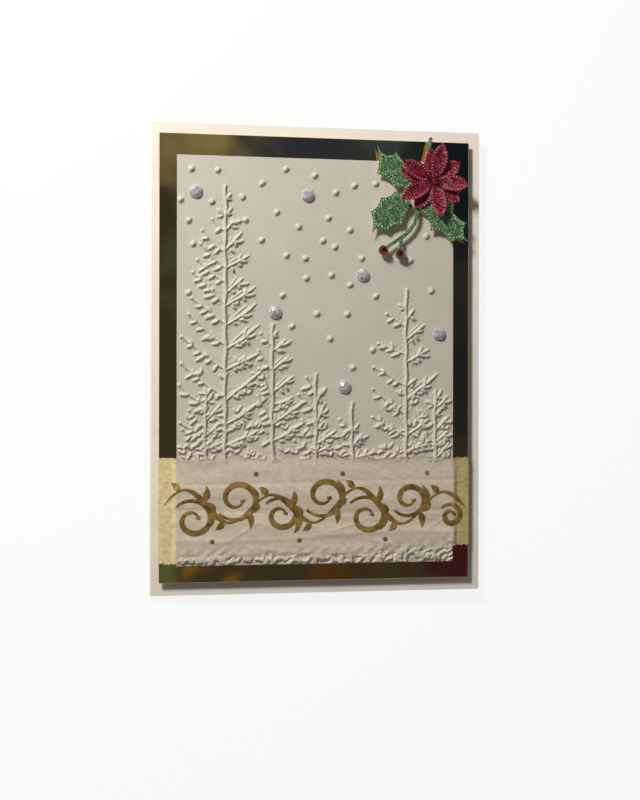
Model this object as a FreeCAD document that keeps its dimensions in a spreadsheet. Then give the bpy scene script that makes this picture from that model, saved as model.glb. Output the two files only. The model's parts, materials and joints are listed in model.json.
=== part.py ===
# A handmade winter greeting card, 5 x 7 inches, closed and lying on its back.
# Frame: +X across the card from fold to free edge, +Y up the card, +Z out of its front.
# The origin is under the middle of the card. Lengths are millimetres, angles degrees.

import FreeCAD, Part
import math
import os
import Sketcher
from FreeCAD import Placement, Rotation, Vector

doc = FreeCAD.newDocument("GreetingCard")

# Driving sizes

SIZES = [
    # folded card
    ("CardWidth", 127.0),
    ("CardHeight", 178.0),
    ("CardThickness", 0.4),
    ("FoldRadius", 0.35),
    ("Gape", 1.2),
    # foam strips that lift the mat off the card
    ("FoamThickness", 2.0),
    ("FoamWidth", 8.0),
    ("FoamInset", 3.0),
    ("FoamGap", 2.5),
    # mirror mat
    ("MatThickness", 0.3),
    ("MatSideMargin", 4.0),
    ("MatEndMargin", 4.7),
    ("MatShiftX", -0.7),
    ("MatShiftY", 0.3),
    # embossed panel
    ("PanelThickness", 0.3),
    ("PanelSideMargin", 6.5),
    ("PanelEndMargin", 7.3),
    ("PanelShiftX", 0.2),
    ("PanelShiftY", -0.9),
    ("ReliefHeight", 0.6),
    ("TrunkWidth", 1.7),
    ("BranchWidth", 1.5),
    ("NeedleWidth", 1.6),
    ("NeedleLength", 4.4),
    ("SnowDiameter", 2.3),
    # torn paper band
    ("BandThickness", 0.15),
    ("BandHeight", 38.8),
    ("BandFromPanelBottom", 1.4),
    ("BandRise", 5.0),
    ("BandTail", 8.0),
    ("BandStep", 1.6),
    ("TornDepth", 0.8),
    # leaves, stem and their foam pads
    ("LeafThickness", 0.3),
    ("PadThickness", 2.0),
    ("PadSize", 6.0),
    ("SprayReach", 25.0),
    ("StemWidth", 1.5),
    ("StemPadLength", 9.0),
    ("StemPadWidth", 3.0),
    ("BerryDiscDiameter", 3.9),
    # flower
    ("FlowerFromRight", 8.1),
    ("FlowerFromTop", 7.8),
    ("HubRim", 0.7),
    ("HubStep", 0.5),
    ("PetalThickness", 0.3),
    ("PetalLength", 15.8),
    ("PetalWidth", 6.2),
    ("LowerPetalCup", 14.0),
    ("LowerPetalTilt", 3.0),
    ("UpperPetalCup", 8.0),
    ("UpperPetalTilt", 12.0),
    # glued stones
    ("GlueFilm", 0.05),
    ("SnowGemDiameter", 5.0),
    ("SnowGemHeight", 1.6),
    ("BerryDiameter", 3.6),
    ("BerryHeight", 1.5),
    ("CentreGemDiameter", 2.6),
    ("CentreGemHeight", 1.2),
]

sheet = doc.addObject("Spreadsheet::Sheet", "Sizes")
for row, (alias, value) in enumerate(SIZES, start=1):
    sheet.set(f"A{row}", alias)
    sheet.set(f"B{row}", str(value))
    sheet.setAlias(f"B{row}", alias)
doc.recompute()


def size(alias):
    return float(sheet.get(alias))


# Values that several pieces share, as expressions for bound sizes and as numbers for shapes

FOLD = "(Sizes.FoldRadius + Sizes.CardThickness)"
MAT_W = "(Sizes.CardWidth - 2 * Sizes.MatSideMargin)"
MAT_H = "(Sizes.CardHeight - 2 * Sizes.MatEndMargin)"
PANEL_W = f"({MAT_W} - 2 * Sizes.PanelSideMargin)"
PANEL_H = f"({MAT_H} - 2 * Sizes.PanelEndMargin)"
PANEL_X = "(Sizes.MatShiftX + Sizes.PanelShiftX)"
PANEL_Y = "(Sizes.MatShiftY + Sizes.PanelShiftY)"
MAT_TOP = "(Sizes.FoamThickness + Sizes.MatThickness)"
PANEL_TOP = f"({MAT_TOP} + Sizes.PanelThickness)"
LEAF_LEVEL = f"({PANEL_TOP} + Sizes.PadThickness)"
FLOWER_LEVEL = f"({LEAF_LEVEL} + Sizes.LeafThickness)"
FLOWER_X = f"({PANEL_X} + {PANEL_W} / 2 - Sizes.FlowerFromRight)"
FLOWER_Y = f"({PANEL_Y} + {PANEL_H} / 2 - Sizes.FlowerFromTop)"
BAND_BOTTOM = f"({PANEL_Y} - {PANEL_H} / 2 + Sizes.BandFromPanelBottom)"
BAND_TOP = f"({BAND_BOTTOM} + Sizes.BandHeight)"

mat_w = size("CardWidth") - 2 * size("MatSideMargin")
mat_h = size("CardHeight") - 2 * size("MatEndMargin")
panel_w = mat_w - 2 * size("PanelSideMargin")
panel_h = mat_h - 2 * size("PanelEndMargin")
panel_x = size("MatShiftX") + size("PanelShiftX")
panel_y = size("MatShiftY") + size("PanelShiftY")
mat_top = size("FoamThickness") + size("MatThickness")
panel_top = mat_top + size("PanelThickness")
panel_left = panel_x - panel_w / 2
panel_right = panel_x + panel_w / 2
panel_bottom = panel_y - panel_h / 2
panel_upper = panel_y + panel_h / 2
band_bottom = panel_bottom + size("BandFromPanelBottom")
band_top = band_bottom + size("BandHeight")


def seat(piece, along="0", up="0", out="0"):
    """Put a piece on the front leaf, which leans open about the fold by the gape."""
    reach = f"({along} + Sizes.CardWidth / 2 - {FOLD})"
    height = f"({FOLD} + {out})"
    piece.Placement = Placement(Vector(), Rotation(Vector(0, -1, 0), size("Gape")))
    piece.setExpression("Placement.Rotation.Angle", "Sizes.Gape")
    fold_line = f"-Sizes.CardWidth / 2 + {FOLD}"
    piece.setExpression("Placement.Base.x",
                        f"{fold_line} + {reach} * cos(Sizes.Gape) - {height} * sin(Sizes.Gape)")
    piece.setExpression("Placement.Base.y", up)
    piece.setExpression("Placement.Base.z",
                        f"{FOLD} + {reach} * sin(Sizes.Gape) + {height} * cos(Sizes.Gape)")


def box(name, length, width, height):
    """A rectangular sheet or pad whose three sizes are expressions."""
    piece = doc.addObject("Part::Box", name)
    piece.Label = name
    piece.setExpression("Length", length)
    piece.setExpression("Width", width)
    piece.setExpression("Height", height)
    return piece


def feature(name, shape):
    piece = doc.addObject("Part::Feature", name)
    piece.Label = name
    piece.Shape = shape
    return piece


def solid_from(faces):
    """A closed solid from lists of corner points, one list a flat face; the first faces outwards."""
    flat = [Part.Face(Part.makePolygon(corners + corners[:1])) for corners in faces]
    return Part.Solid(Part.Shell(flat))


# Folded card: two leaves and the round of the fold are one sheet

def origin_plane(body, role):
    return next(item for item in body.Origin.OriginFeatures if item.Role == role)


def make_card_base():
    body = doc.addObject("PartDesign::Body", "card_base")
    body.Label = "card_base"
    sketch = body.newObject("Sketcher::SketchObject", "card_section")
    sketch.AttachmentSupport = [(origin_plane(body, "XZ_Plane"), "")]
    sketch.MapMode = "FlatFace"

    inner = size("FoldRadius")
    outer = inner + size("CardThickness")
    half = size("CardWidth") / 2
    leaf = size("CardWidth") - outer
    gape = math.radians(size("Gape"))
    centre = Vector(-half + outer, outer, 0)
    normal = Vector(-math.sin(gape), math.cos(gape), 0)
    along = Vector(math.cos(gape), math.sin(gape), 0)
    up = Vector(0, 0, 1)
    back_end = Vector(half, 0, 0)
    back_end_inside = Vector(half, size("CardThickness"), 0)
    fold_start = centre - Vector(0, outer, 0)
    fold_start_inside = centre - Vector(0, inner, 0)
    front_root_inside = centre + normal * inner
    front_root = centre + normal * outer
    opening = math.pi / 2 + gape
    closing = 3 * math.pi / 2

    sketch.addGeometry([
        Part.LineSegment(fold_start, back_end),
        Part.LineSegment(back_end, back_end_inside),
        Part.LineSegment(back_end_inside, fold_start_inside),
        Part.ArcOfCircle(Part.Circle(centre, up, inner), opening, closing),
        Part.LineSegment(front_root_inside, front_root_inside + along * leaf),
        Part.LineSegment(front_root_inside + along * leaf, front_root + along * leaf),
        Part.LineSegment(front_root + along * leaf, front_root),
        Part.ArcOfCircle(Part.Circle(centre, up, outer), opening, closing),
    ], False)
    back, back_edge, back_inside, fold_inside, front_inside, front_edge, front, fold = range(8)
    sketch.addConstraint([
        Sketcher.Constraint("Tangent", fold, 2, back, 1),
        Sketcher.Constraint("Coincident", back, 2, back_edge, 1),
        Sketcher.Constraint("Coincident", back_edge, 2, back_inside, 1),
        Sketcher.Constraint("Tangent", back_inside, 2, fold_inside, 2),
        Sketcher.Constraint("Tangent", fold_inside, 1, front_inside, 1),
        Sketcher.Constraint("Coincident", front_inside, 2, front_edge, 1),
        Sketcher.Constraint("Coincident", front_edge, 2, front, 1),
        Sketcher.Constraint("Tangent", front, 2, fold, 1),
        Sketcher.Constraint("Coincident", fold_inside, 3, fold, 3),
        Sketcher.Constraint("Horizontal", back),
        Sketcher.Constraint("Horizontal", back_inside),
        Sketcher.Constraint("Vertical", back_edge),
        Sketcher.Constraint("Parallel", front_inside, front),
        Sketcher.Constraint("Perpendicular", front_inside, front_edge),
    ])
    named = [
        ("fold_radius", Sketcher.Constraint("Radius", fold_inside, inner), "Sizes.FoldRadius"),
        ("fold_outside", Sketcher.Constraint("Radius", fold, outer), FOLD),
        ("fold_from_middle", Sketcher.Constraint("DistanceX", fold, 3, -1, 1, half - outer),
         f"Sizes.CardWidth / 2 - {FOLD}"),
        ("fold_above_table", Sketcher.Constraint("DistanceY", -1, 1, fold, 3, outer), FOLD),
        ("free_edge", Sketcher.Constraint("DistanceX", -1, 1, back, 2, half), "Sizes.CardWidth / 2"),
        ("front_length", Sketcher.Constraint("Distance", front_inside, leaf),
         f"Sizes.CardWidth - {FOLD}"),
        ("gape", Sketcher.Constraint("Angle", front_inside, gape), "Sizes.Gape"),
    ]
    for label, constraint, expression in named:
        index = sketch.addConstraint(constraint)
        sketch.renameConstraint(index, label)
        sketch.setExpression(f"Constraints.{label}", expression)

    pad = body.newObject("PartDesign::Pad", "card_sheet")
    pad.Profile = sketch
    pad.Midplane = True
    pad.setExpression("Length", "Sizes.CardHeight")
    return body


# Foam strips: two across the ends, three upright ones above the band's tails

def make_foam_strips():
    across = f"({MAT_W} - 2 * (Sizes.BandTail + Sizes.FoamInset))"
    lowest = f"({BAND_TOP} + Sizes.TornDepth + Sizes.FoamGap)"
    highest = f"(Sizes.MatShiftY + {MAT_H} / 2 - Sizes.FoamInset - Sizes.FoamWidth - Sizes.FoamGap)"
    strips = []
    for name, corner_y in (
            ("foam_strip_top", f"Sizes.MatShiftY + {MAT_H} / 2 - Sizes.FoamInset - Sizes.FoamWidth"),
            ("foam_strip_bottom", f"Sizes.MatShiftY - {MAT_H} / 2 + Sizes.FoamInset")):
        strip = box(name, across, "Sizes.FoamWidth", "Sizes.FoamThickness")
        seat(strip, f"(Sizes.MatShiftX - {across} / 2)", corner_y)
        strips.append(strip)
    for name, corner_x in (
            ("foam_strip_left", f"Sizes.MatShiftX - {MAT_W} / 2 + Sizes.FoamInset"),
            ("foam_strip_middle", "Sizes.MatShiftX - Sizes.FoamWidth / 2"),
            ("foam_strip_right", f"Sizes.MatShiftX + {MAT_W} / 2 - Sizes.FoamInset - Sizes.FoamWidth")):
        strip = box(name, "Sizes.FoamWidth", f"{highest} - {lowest}", "Sizes.FoamThickness")
        seat(strip, f"({corner_x})", lowest)
        strips.append(strip)
    return strips


def make_mirror_mat():
    mat = box("mirror_mat", MAT_W, MAT_H, "Sizes.MatThickness")
    seat(mat, f"(Sizes.MatShiftX - {MAT_W} / 2)", f"Sizes.MatShiftY - {MAT_H} / 2", "Sizes.FoamThickness")
    return mat


# Embossed relief: every raised stroke is a ridge of flat facets, a little sunk into the sheet.
# The strokes stand just clear of each other, as the pressed lines of a die do.

RIDGE_SINK = 0.1
RELIEF_GAP = 0.12
RIM_GAP = 0.3
BLUNT = 0.45


def polar(angle, length):
    return Vector(math.cos(math.radians(angle)) * length, math.sin(math.radians(angle)) * length, 0)


def ridge_outline(line, widths):
    """Foot of a ridge along a line of points, each with its own width, blunt at the far end."""
    runs = [(end - start).normalize() for start, end in zip(line, line[1:])]
    along = [runs[0]] + [(one + other).normalize() for one, other in zip(runs, runs[1:])] + [runs[-1]]
    across = [Vector(-run.y, run.x, 0) for run in along]
    spine = line[:-1] + [line[-1] - runs[-1] * (widths[-1] / 2)]
    left = [point + side * (width / 2) for point, side, width in zip(spine, across, widths)]
    right = [point - side * (width / 2) for point, side, width in zip(spine, across, widths)]
    tip_left = line[-1] + across[-1] * (BLUNT * widths[-1] / 2)
    tip_right = line[-1] - across[-1] * (BLUNT * widths[-1] / 2)
    return left + [tip_left, tip_right] + right[::-1], spine


def ridge(outline, spine, height):
    """Facets from the foot up to a crest that follows the spine."""
    foot = [point - Vector(0, 0, RIDGE_SINK) for point in outline]
    crest = [point + Vector(0, 0, height) for point in spine]
    last = len(spine)
    left, right = foot[:last], foot[:last + 1:-1]
    tip_left, tip_right = foot[last], foot[last + 1]
    faces = [foot, [right[0], left[0], crest[0]], [left[-1], tip_left, crest[-1]],
             [tip_left, tip_right, crest[-1]], [tip_right, right[-1], crest[-1]]]
    for k in range(last - 1):
        faces += [[left[k], left[k + 1], crest[k + 1]], [left[k], crest[k + 1], crest[k]],
                  [right[k], right[k + 1], crest[k + 1]], [right[k], crest[k + 1], crest[k]]]
    return solid_from(faces)


def needle_outline(start, angle, length, width):
    """Foot of a drop-shaped needle, pointed where it starts and round where it ends."""
    shares = [(0, 0), (0.62, 0.5), (1, 0.2), (1, -0.2), (0.62, -0.5)]
    return [start + polar(angle, along * length) + polar(angle + 90, across * width)
            for along, across in shares]


def needle(outline, height):
    """Five facets that meet in one crest near the needle's round end."""
    foot = [point - Vector(0, 0, RIDGE_SINK) for point in outline]
    crest = (foot[1] + foot[4]) * 0.5 + Vector(0, 0, RIDGE_SINK + height)
    sides = [[one, other, crest] for one, other in zip(foot, foot[1:] + foot[:1])]
    return solid_from([foot] + sides)


def distance_to_segment(point, start, end):
    run = end - start
    share = max(0.0, min(1.0, (point - start).dot(run) / run.dot(run)))
    return (point - (start + run * share)).Length


def side_of(point, start, end):
    return (end.x - start.x) * (point.y - start.y) - (end.y - start.y) * (point.x - start.x)


def segments_meet(one, two, three, four):
    apart_one = side_of(one, three, four) * side_of(two, three, four) > 0
    apart_other = side_of(three, one, two) * side_of(four, one, two) > 0
    return not apart_one and not apart_other


def edges(outline):
    return list(zip(outline, outline[1:] + outline[:1]))


def has_room(outline, placed):
    """True where a foot lies on the panel and clear of every foot placed before it."""
    for point in outline:
        if not panel_left + RIM_GAP < point.x < panel_right - RIM_GAP:
            return False
        if not panel_bottom + RIM_GAP < point.y < panel_upper - RIM_GAP:
            return False
    middle = sum(outline, Vector()) * (1 / len(outline))
    reach = max((point - middle).Length for point in outline)
    for other in placed:
        if all(distance_to_segment(middle, *edge) > reach + 1 for edge in edges(other)):
            continue
        for one, two in edges(outline):
            for three, four in edges(other):
                if segments_meet(one, two, three, four):
                    return False
                if distance_to_segment(one, three, four) < RELIEF_GAP:
                    return False
                if distance_to_segment(three, one, two) < RELIEF_GAP:
                    return False
    return True


# The picture is drawn on a sheet of this size, from its lower left corner, and stretches with the panel.
DRAWN_WIDTH, DRAWN_HEIGHT = 106.0, 154.0


def on_panel(across, up):
    x = panel_left + across / DRAWN_WIDTH * panel_w
    y = panel_bottom + up / DRAWN_HEIGHT * panel_h
    return Vector(x, y, 0)


# Each fir: place of its trunk, height of its top, then its right and its left branches.
# Each branch: height of its fork, its reach sideways and its rise. The short firs stand in front.
FIRS = [
    (99, 66,
     [(62.5, 2.5, 3), (59.5, 4.5, 4.5), (56, 2.5, 2.5), (51, 5.5, 5), (46.5, 5, 4), (40.5, 5.5, 5.5)],
     [(60.5, 3.5, 1), (53, 4.5, 4), (46, 5.5, 4)]),
    (10.5, 66,
     [(61, 3, 4), (54.5, 5.5, 6), (48.5, 5, 5), (44, 6, 2.5)],
     [(57.5, 2.5, 3.5), (51.5, 5.5, 6), (45.5, 8, 5)]),
    (66.5, 61,
     [(50, 2.5, 2.5), (44.5, 4.5, 4.5), (40, 9, 2)],
     [(49.5, 4, 4.5), (41, 6, 6)]),
    (52.5, 72,
     [(61, 2.5, 5.5), (54, 3.5, 7), (51, 3, 2.5), (46, 7.5, 4.5), (42.5, 6, 2.5)],
     [(64.5, 3.5, 5.5), (58.5, 6, 5), (48.5, 4.5, 5.5), (42, 7.5, 4)]),
    (36, 90.5,
     [(86, 2, 2), (81, 4.5, 4), (74, 6.5, 4.5), (65.5, 8, 5.5), (60.5, 7.5, 2.5), (53, 12, 8.5),
      (46.5, 12.5, 7.5)],
     [(83, 3.5, 3.5), (73.5, 5, 6.5), (63.5, 5, 10), (54.5, 5, 8.5), (45.5, 4.5, 7)]),
    (87.5, 105,
     [(93.5, 3, 3.5), (85.5, 7, 5.5), (77, 9, 4.5), (67.5, 3.5, 2.5), (62.5, 12, 10), (49, 9.5, 6),
      (42.5, 10, 2.5)],
     [(97.5, 2.5, 1.5), (91, 6.5, 4), (80, 10, 3.5), (68.5, 11.5, 6), (57.5, 12, 8.5), (48.5, 12, 7),
      (40.5, 8, 2)]),
    (18, 142.5,
     [(137.5, 2, 2), (132, 2, 2.5), (126.5, 3.5, 3.5), (118.5, 6, 6.5), (112, 8.5, 5), (102.5, 6.5, 5.5),
      (97.5, 11, 7.5), (90.5, 11.5, 8), (81.5, 12.5, 9), (73.5, 12.5, 6.5), (62, 13, 11), (53, 13, 9),
      (45, 13, 6)],
     [(131.5, 3, 2.5), (126, 4, 3.5), (118, 8, 7), (112, 8.5, 8), (106.5, 10, 7.5), (98.5, 11.5, 11),
      (91.5, 12, 8.5), (83, 13, 10.5), (74, 15.5, 11.5), (63.5, 15.5, 11.5), (53, 16.5, 14),
      (44.5, 16, 8.5)]),
]
TWIG_REACH = 4.2
ELBOW_DROP = 0.12
NEEDLE_PITCH = 4.2
HANG_AT_ROOT, HANG_AT_TIP = -66.0, -14.0
STAND = 78.0
SHORTER = (1.0, 0.8, 0.62, 0.45)


def fir_trunks():
    trunks = []
    for across, top, _, _ in FIRS:
        foot = on_panel(across, 0) + Vector(0, 2 * RIM_GAP, 0)
        trunks.append(ridge_outline([foot, on_panel(across, top)], [size("TrunkWidth")] * 2))
    return trunks


def add_needle(start, angle, length, placed, solids):
    """A needle as long as its neighbours leave room for, or none."""
    for share in SHORTER:
        foot = needle_outline(start, angle, length * share, size("NeedleWidth"))
        if has_room(foot, placed):
            placed.append(foot)
            solids.append(needle(foot, 0.8 * size("ReliefHeight")))
            return


def add_branch(root, tip, drop, placed, solids):
    """A branch with a low elbow, as long as its neighbours leave room for; returns its line."""
    width = size("BranchWidth")
    for share in SHORTER:
        end = root + (tip - root) * share
        elbow = (root + end) * 0.5 - Vector(0, drop * share, 0)
        outline, spine = ridge_outline([root, elbow, end], [0.6 * width, 0.8 * width, 1.15 * width])
        if has_room(outline, placed):
            placed.append(outline)
            solids.append(ridge(outline, spine, 0.93 * size("ReliefHeight")))
            return [root, elbow, end]
    return None


def dress_branch(line, side, placed, solids):
    """Needles that hang from a branch, steep at its root and flat at its tip; some stand up on it."""
    clearance = 0.55 * size("BranchWidth") + 1.5 * RELIEF_GAP
    length = (line[2] - line[0]).Length
    count = max(1, round(length / NEEDLE_PITCH))
    for k in range(count):
        share = (k + 0.5) / count
        start, end = line[:2] if share < 0.5 else line[1:]
        spot = start + (end - start) * (2 * share % 1)
        along = (end - start).normalize()
        hanging = HANG_AT_ROOT + (HANG_AT_TIP - HANG_AT_ROOT) * share
        needles = [(hanging, size("NeedleLength") * (1 - 0.3 * share))]
        if k % 2 == 1:
            needles.append((STAND, 0.6 * size("NeedleLength")))
        for lean, reach in needles:
            angle = lean if side > 0 else 180 - lean
            way = polar(angle, 1)
            apart = abs(along.x * way.y - along.y * way.x)
            add_needle(spot + way * (clearance / max(apart, 0.5)), angle, reach, placed, solids)


def fir_branches(fir, placed):
    """The branches and needles of one fir, as solids."""
    across, _, right_side, left_side = fir
    flank = size("TrunkWidth") / 2 + 1.5 * RELIEF_GAP
    solids = []
    for side, branches in ((1, right_side), (-1, left_side)):
        for fork, reach, rise in branches:
            trunk_point = on_panel(across, fork)
            tip = on_panel(across + side * reach, fork + rise)
            run = (tip - trunk_point).normalize()
            if reach < TWIG_REACH:
                start = trunk_point + run * (flank / abs(run.x))
                angle = math.degrees(math.atan2(run.y, run.x))
                add_needle(start, angle, (tip - start).Length, placed, solids)
                continue
            root = trunk_point + run * ((flank + 0.3 * size("BranchWidth")) / abs(run.x))
            line = add_branch(root, tip, ELBOW_DROP * rise, placed, solids)
            if line:
                dress_branch(line, side, placed, solids)
    return solids


# Stones and drops of snow on the sky: distance from the picture's left edge and from its bottom
SNOW_GEMS = [(7.0, 140.3), (49.3, 139.9), (70.5, 110.0), (36.9, 95.4), (63.4, 67.3), (100.3, 87.9)]
SNOW = [
    (5.5, 149), (15.5, 148.5), (41, 149.5), (52, 147.5), (32, 144), (2, 137.5), (13, 136.5), (24.5, 139),
    (37.5, 133), (4.5, 129.5), (25.5, 130), (46, 128), (6, 120.5), (31.5, 122.5), (41, 117), (48.5, 116),
    (49, 108.5), (4.5, 102.5), (40, 101.5), (60.5, 141.5), (67, 144), (75.5, 145), (57.5, 131.5),
    (65.5, 127), (55, 122.5), (60, 120.5), (70, 116.5), (58.5, 109.5), (65.5, 106), (75.5, 102),
    (95, 125.5), (89, 115.5), (97.5, 104.5), (53, 95), (64.5, 95), (43.5, 90), (58, 85.5), (74, 81.5),
    (66.5, 74.5),
]


def snow_outline(spot):
    return [spot + polar(45 * corner, size("SnowDiameter") / 2) for corner in range(8)]


def snow_dome(outline):
    """A low round drop of embossed snow: eight sides, a shoulder and a blunt crest."""
    height = size("ReliefHeight") * 0.9
    spot = (outline[0] + outline[4]) * 0.5
    foot = [point - Vector(0, 0, RIDGE_SINK) for point in outline]
    shoulder = [spot + (point - spot) * 0.66 + Vector(0, 0, 0.78 * height) for point in outline]
    crest = spot + Vector(0, 0, height)
    faces = [foot[::-1]]
    for one, other in zip(range(8), list(range(1, 8)) + [0]):
        faces.append([foot[one], foot[other], shoulder[other], shoulder[one]])
        faces.append([shoulder[one], shoulder[other], crest])
    return solid_from(faces)


def make_embossed_panel():
    panel_sheet = box("panel_sheet", PANEL_W, PANEL_H, "Sizes.PanelThickness")
    panel_sheet.Placement.Base = Vector(panel_left, panel_bottom, -size("PanelThickness"))
    panel_sheet.setExpression("Placement.Base.x", f"{PANEL_X} - {PANEL_W} / 2")
    panel_sheet.setExpression("Placement.Base.y", f"{PANEL_Y} - {PANEL_H} / 2")
    panel_sheet.setExpression("Placement.Base.z", "-Sizes.PanelThickness")

    trunks = fir_trunks()
    drops = [snow_outline(on_panel(across, up)) for across, up in SNOW]
    feet = [outline for outline, _ in trunks] + drops
    solids = [ridge(outline, spine, size("ReliefHeight")) for outline, spine in trunks]
    solids += [snow_dome(outline) for outline in drops]
    for fir in FIRS:
        solids += fir_branches(fir, feet)
    relief = feature("relief", Part.Compound(solids))

    panel = doc.addObject("Part::Fuse", "embossed_panel")
    panel.Label = "embossed_panel"
    panel.Base = panel_sheet
    panel.Tool = relief
    panel.Refine = False
    seat(panel, "0", "0", PANEL_TOP)
    return panel


# Torn paper band: laid across the panel, down over the mat's margins and round under its edges

RISE_FROM, RISE_TO = 0.65, 0.96


def torn_edge(start_x, end_x, level, phase, depth, rise=0.0):
    """Points along a torn edge: three waves of unlike length, and a lift towards its right end."""
    points = []
    count = 64
    for index in range(count + 1):
        x = start_x + (end_x - start_x) * index / count
        wave = 0.5 * math.sin(x / 5.3 + phase) + 0.3 * math.sin(x / 2.3 + 2 * phase)
        wave += 0.2 * math.sin(x * 1.9)
        share = min(1.0, max(0.0, (index / count - RISE_FROM) / (RISE_TO - RISE_FROM)))
        lift = rise * share * share * (3 - 2 * share)
        points.append(Vector(x, level + depth * wave + lift, 0))
    return points


def make_paper_band():
    thick, tail, step = size("BandThickness"), size("BandTail"), size("BandStep")
    mat_left = size("MatShiftX") - mat_w / 2
    mat_right = size("MatShiftX") + mat_w / 2
    crest = panel_top + size("ReliefHeight")
    under = size("FoamThickness")

    def side(edge, panel_edge, out):
        """The band's inner line from the panel's rim round the mat to the end of the tail."""
        rim = panel_edge + out * 0.1
        return [(rim, crest), (rim + out * step, mat_top), (edge, mat_top),
                (edge, under), (edge - out * tail, under)]

    inner = side(mat_left, panel_left, -1)[::-1] + side(mat_right, panel_right, 1)
    outer = [(mat_left + tail, under - thick), (mat_left - thick, under - thick),
             (mat_left - thick, mat_top + thick), (panel_left - 0.1 - step, mat_top + thick),
             (panel_left - 0.1, crest + thick), (panel_right + 0.1, crest + thick),
             (panel_right + 0.1 + step, mat_top + thick), (mat_right + thick, mat_top + thick),
             (mat_right + thick, under - thick), (mat_right - tail, under - thick)]
    section = [Vector(x, 0, z) for x, z in inner + outer[::-1]]
    margin = 4.0
    lowest = band_bottom - margin
    profile = Part.Face(Part.makePolygon(section + section[:1]))
    profile.translate(Vector(0, lowest, 0))
    folded = feature("band_section", profile.extrude(Vector(0, size("BandHeight") + 2 * margin, 0)))

    reach = mat_w / 2 + 2
    upper = torn_edge(size("MatShiftX") - reach, size("MatShiftX") + reach, band_top, 0.6,
                      0.5 * size("TornDepth"))
    lower = torn_edge(size("MatShiftX") - reach, size("MatShiftX") + reach, band_bottom, 2.1,
                      size("TornDepth"), size("BandRise"))
    outline = upper + lower[::-1]
    prism = Part.Face(Part.makePolygon(outline + outline[:1])).extrude(Vector(0, 0, crest + 2))
    torn = feature("band_outline", prism)

    band = doc.addObject("Part::Common", "paper_band")
    band.Label = "paper_band"
    band.Base = folded
    band.Tool = torn
    seat(band)
    return band


# Holly leaves: a chain of arcs that sag inwards between the spines, cut from one sheet

# The leaves and the stem are drawn for this reach from the flower's centre, and grow with the spray's
DRAWN_REACH = 25.0
SPRAY = f"(Sizes.SprayReach / {DRAWN_REACH})"
spray = size("SprayReach") / DRAWN_REACH

# Each leaf anticlockwise from its tip, about the flower's centre: a corner, and how far the edge that
# starts there sags into the leaf, as a share of its length. Last, the place of the leaf's foam pad.
HOLLY = [
    ("holly_leaf_upper",
     [(-22.4, 14.1, 0.07), (-22.4, 2.3, 0.15), (-15.5, -2.9, 0.13), (-10.3, -3.7, 0.1), (-7.2, -0.4, 0.13),
      (-9.7, 7.0, 0.16), (-14.7, 11.2, 0.2), (-20.1, 10.2, 0.09)],
     (-15.6, 4.4)),
    ("holly_leaf_lower",
     [(-25.2, -22.3, 0.05), (-22.7, -18.5, 0.15), (-18.7, -19.6, 0.11), (-12.2, -16.6, 0.14),
      (-8.3, -9.7, 0.1), (-10.9, -5.1, 0.15), (-15.2, -4.1, 0.15), (-20.8, -6.6, 0.13),
      (-24.8, -12.1, 0.12)],
     (-16.4, -12.0)),
    ("holly_leaf_right",
     [(13.4, -22.8, 0.2), (12.9, -15.5, 0.1), (7.1, -10.9, 0.05), (8.0, -8.5, 0.18), (1.8, -5.3, 0.1),
      (-3.8, -9.5, -0.2), (-5.2, -11.8, 0.19), (-1.7, -19.0, 0.22), (6.1, -23.1, 0.15)],
     (4.4, -14.6)),
]


def leaf_sketch(body, name, outline):
    """A closed chain of arcs from corner to corner; a leaf's spines are where two arcs meet."""
    sketch = body.newObject("Sketcher::SketchObject", name)
    sketch.AttachmentSupport = [(origin_plane(body, "XY_Plane"), "")]
    sketch.MapMode = "FlatFace"
    for (x, y, sag), (next_x, next_y, _) in zip(outline, outline[1:] + outline[:1]):
        start = Vector(x, y, 0) * spray
        end = Vector(next_x, next_y, 0) * spray
        chord = end - start
        middle = (start + end) * 0.5 + Vector(-chord.y, chord.x, 0) * sag
        sketch.addGeometry(Part.Arc(start, middle, end), False)
    return sketch


def make_holly():
    leaves, pads = [], []
    for name, outline, (pad_x, pad_y) in HOLLY:
        body = doc.addObject("PartDesign::Body", name)
        body.Label = name
        pad = body.newObject("PartDesign::Pad", f"{name}_sheet")
        pad.Profile = leaf_sketch(body, f"{name}_outline", outline)
        pad.setExpression("Length", "Sizes.LeafThickness")
        seat(body, FLOWER_X, FLOWER_Y, LEAF_LEVEL)
        leaves.append(body)

        foam = box(name.replace("leaf", "pad"), "Sizes.PadSize", "Sizes.PadSize", "Sizes.PadThickness")
        seat(foam, f"({FLOWER_X} + {pad_x} * {SPRAY} - Sizes.PadSize / 2)",
             f"{FLOWER_Y} + {pad_y} * {SPRAY} - Sizes.PadSize / 2", PANEL_TOP)
        pads.append(foam)
    return leaves, pads


# Berry stem: one cut strip that runs under the flower and forks to two round discs

STEM_LINE = [(-1.4, 16.2), (-2.5, 11.3), (-4.8, 0.5), (-6.8, -8.4), (-6.8, -11.8), (-6.9, -14.1),
             (-7.8, -16.5), (-9.4, -18.8), (-11.5, -20.8), (-14.0, -22.6)]
LEFT_TWIG = [(-14.0, -22.6), (-16.9, -24.5), (-19.8, -26.8)]
RIGHT_TWIG = [(-12.8, -21.7), (-13.2, -24.6), (-13.3, -28.1)]
STEM_PAD_AT = (-5.2, -3.0)


def strip(line, width):
    """A cut strip of even width along a line of points, with round ends."""
    wire = Part.makePolygon([Vector(x, y, 0) * spray for x, y in line])
    return Part.Face(wire.makeOffset2D(width / 2, 0, False, False))


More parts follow.
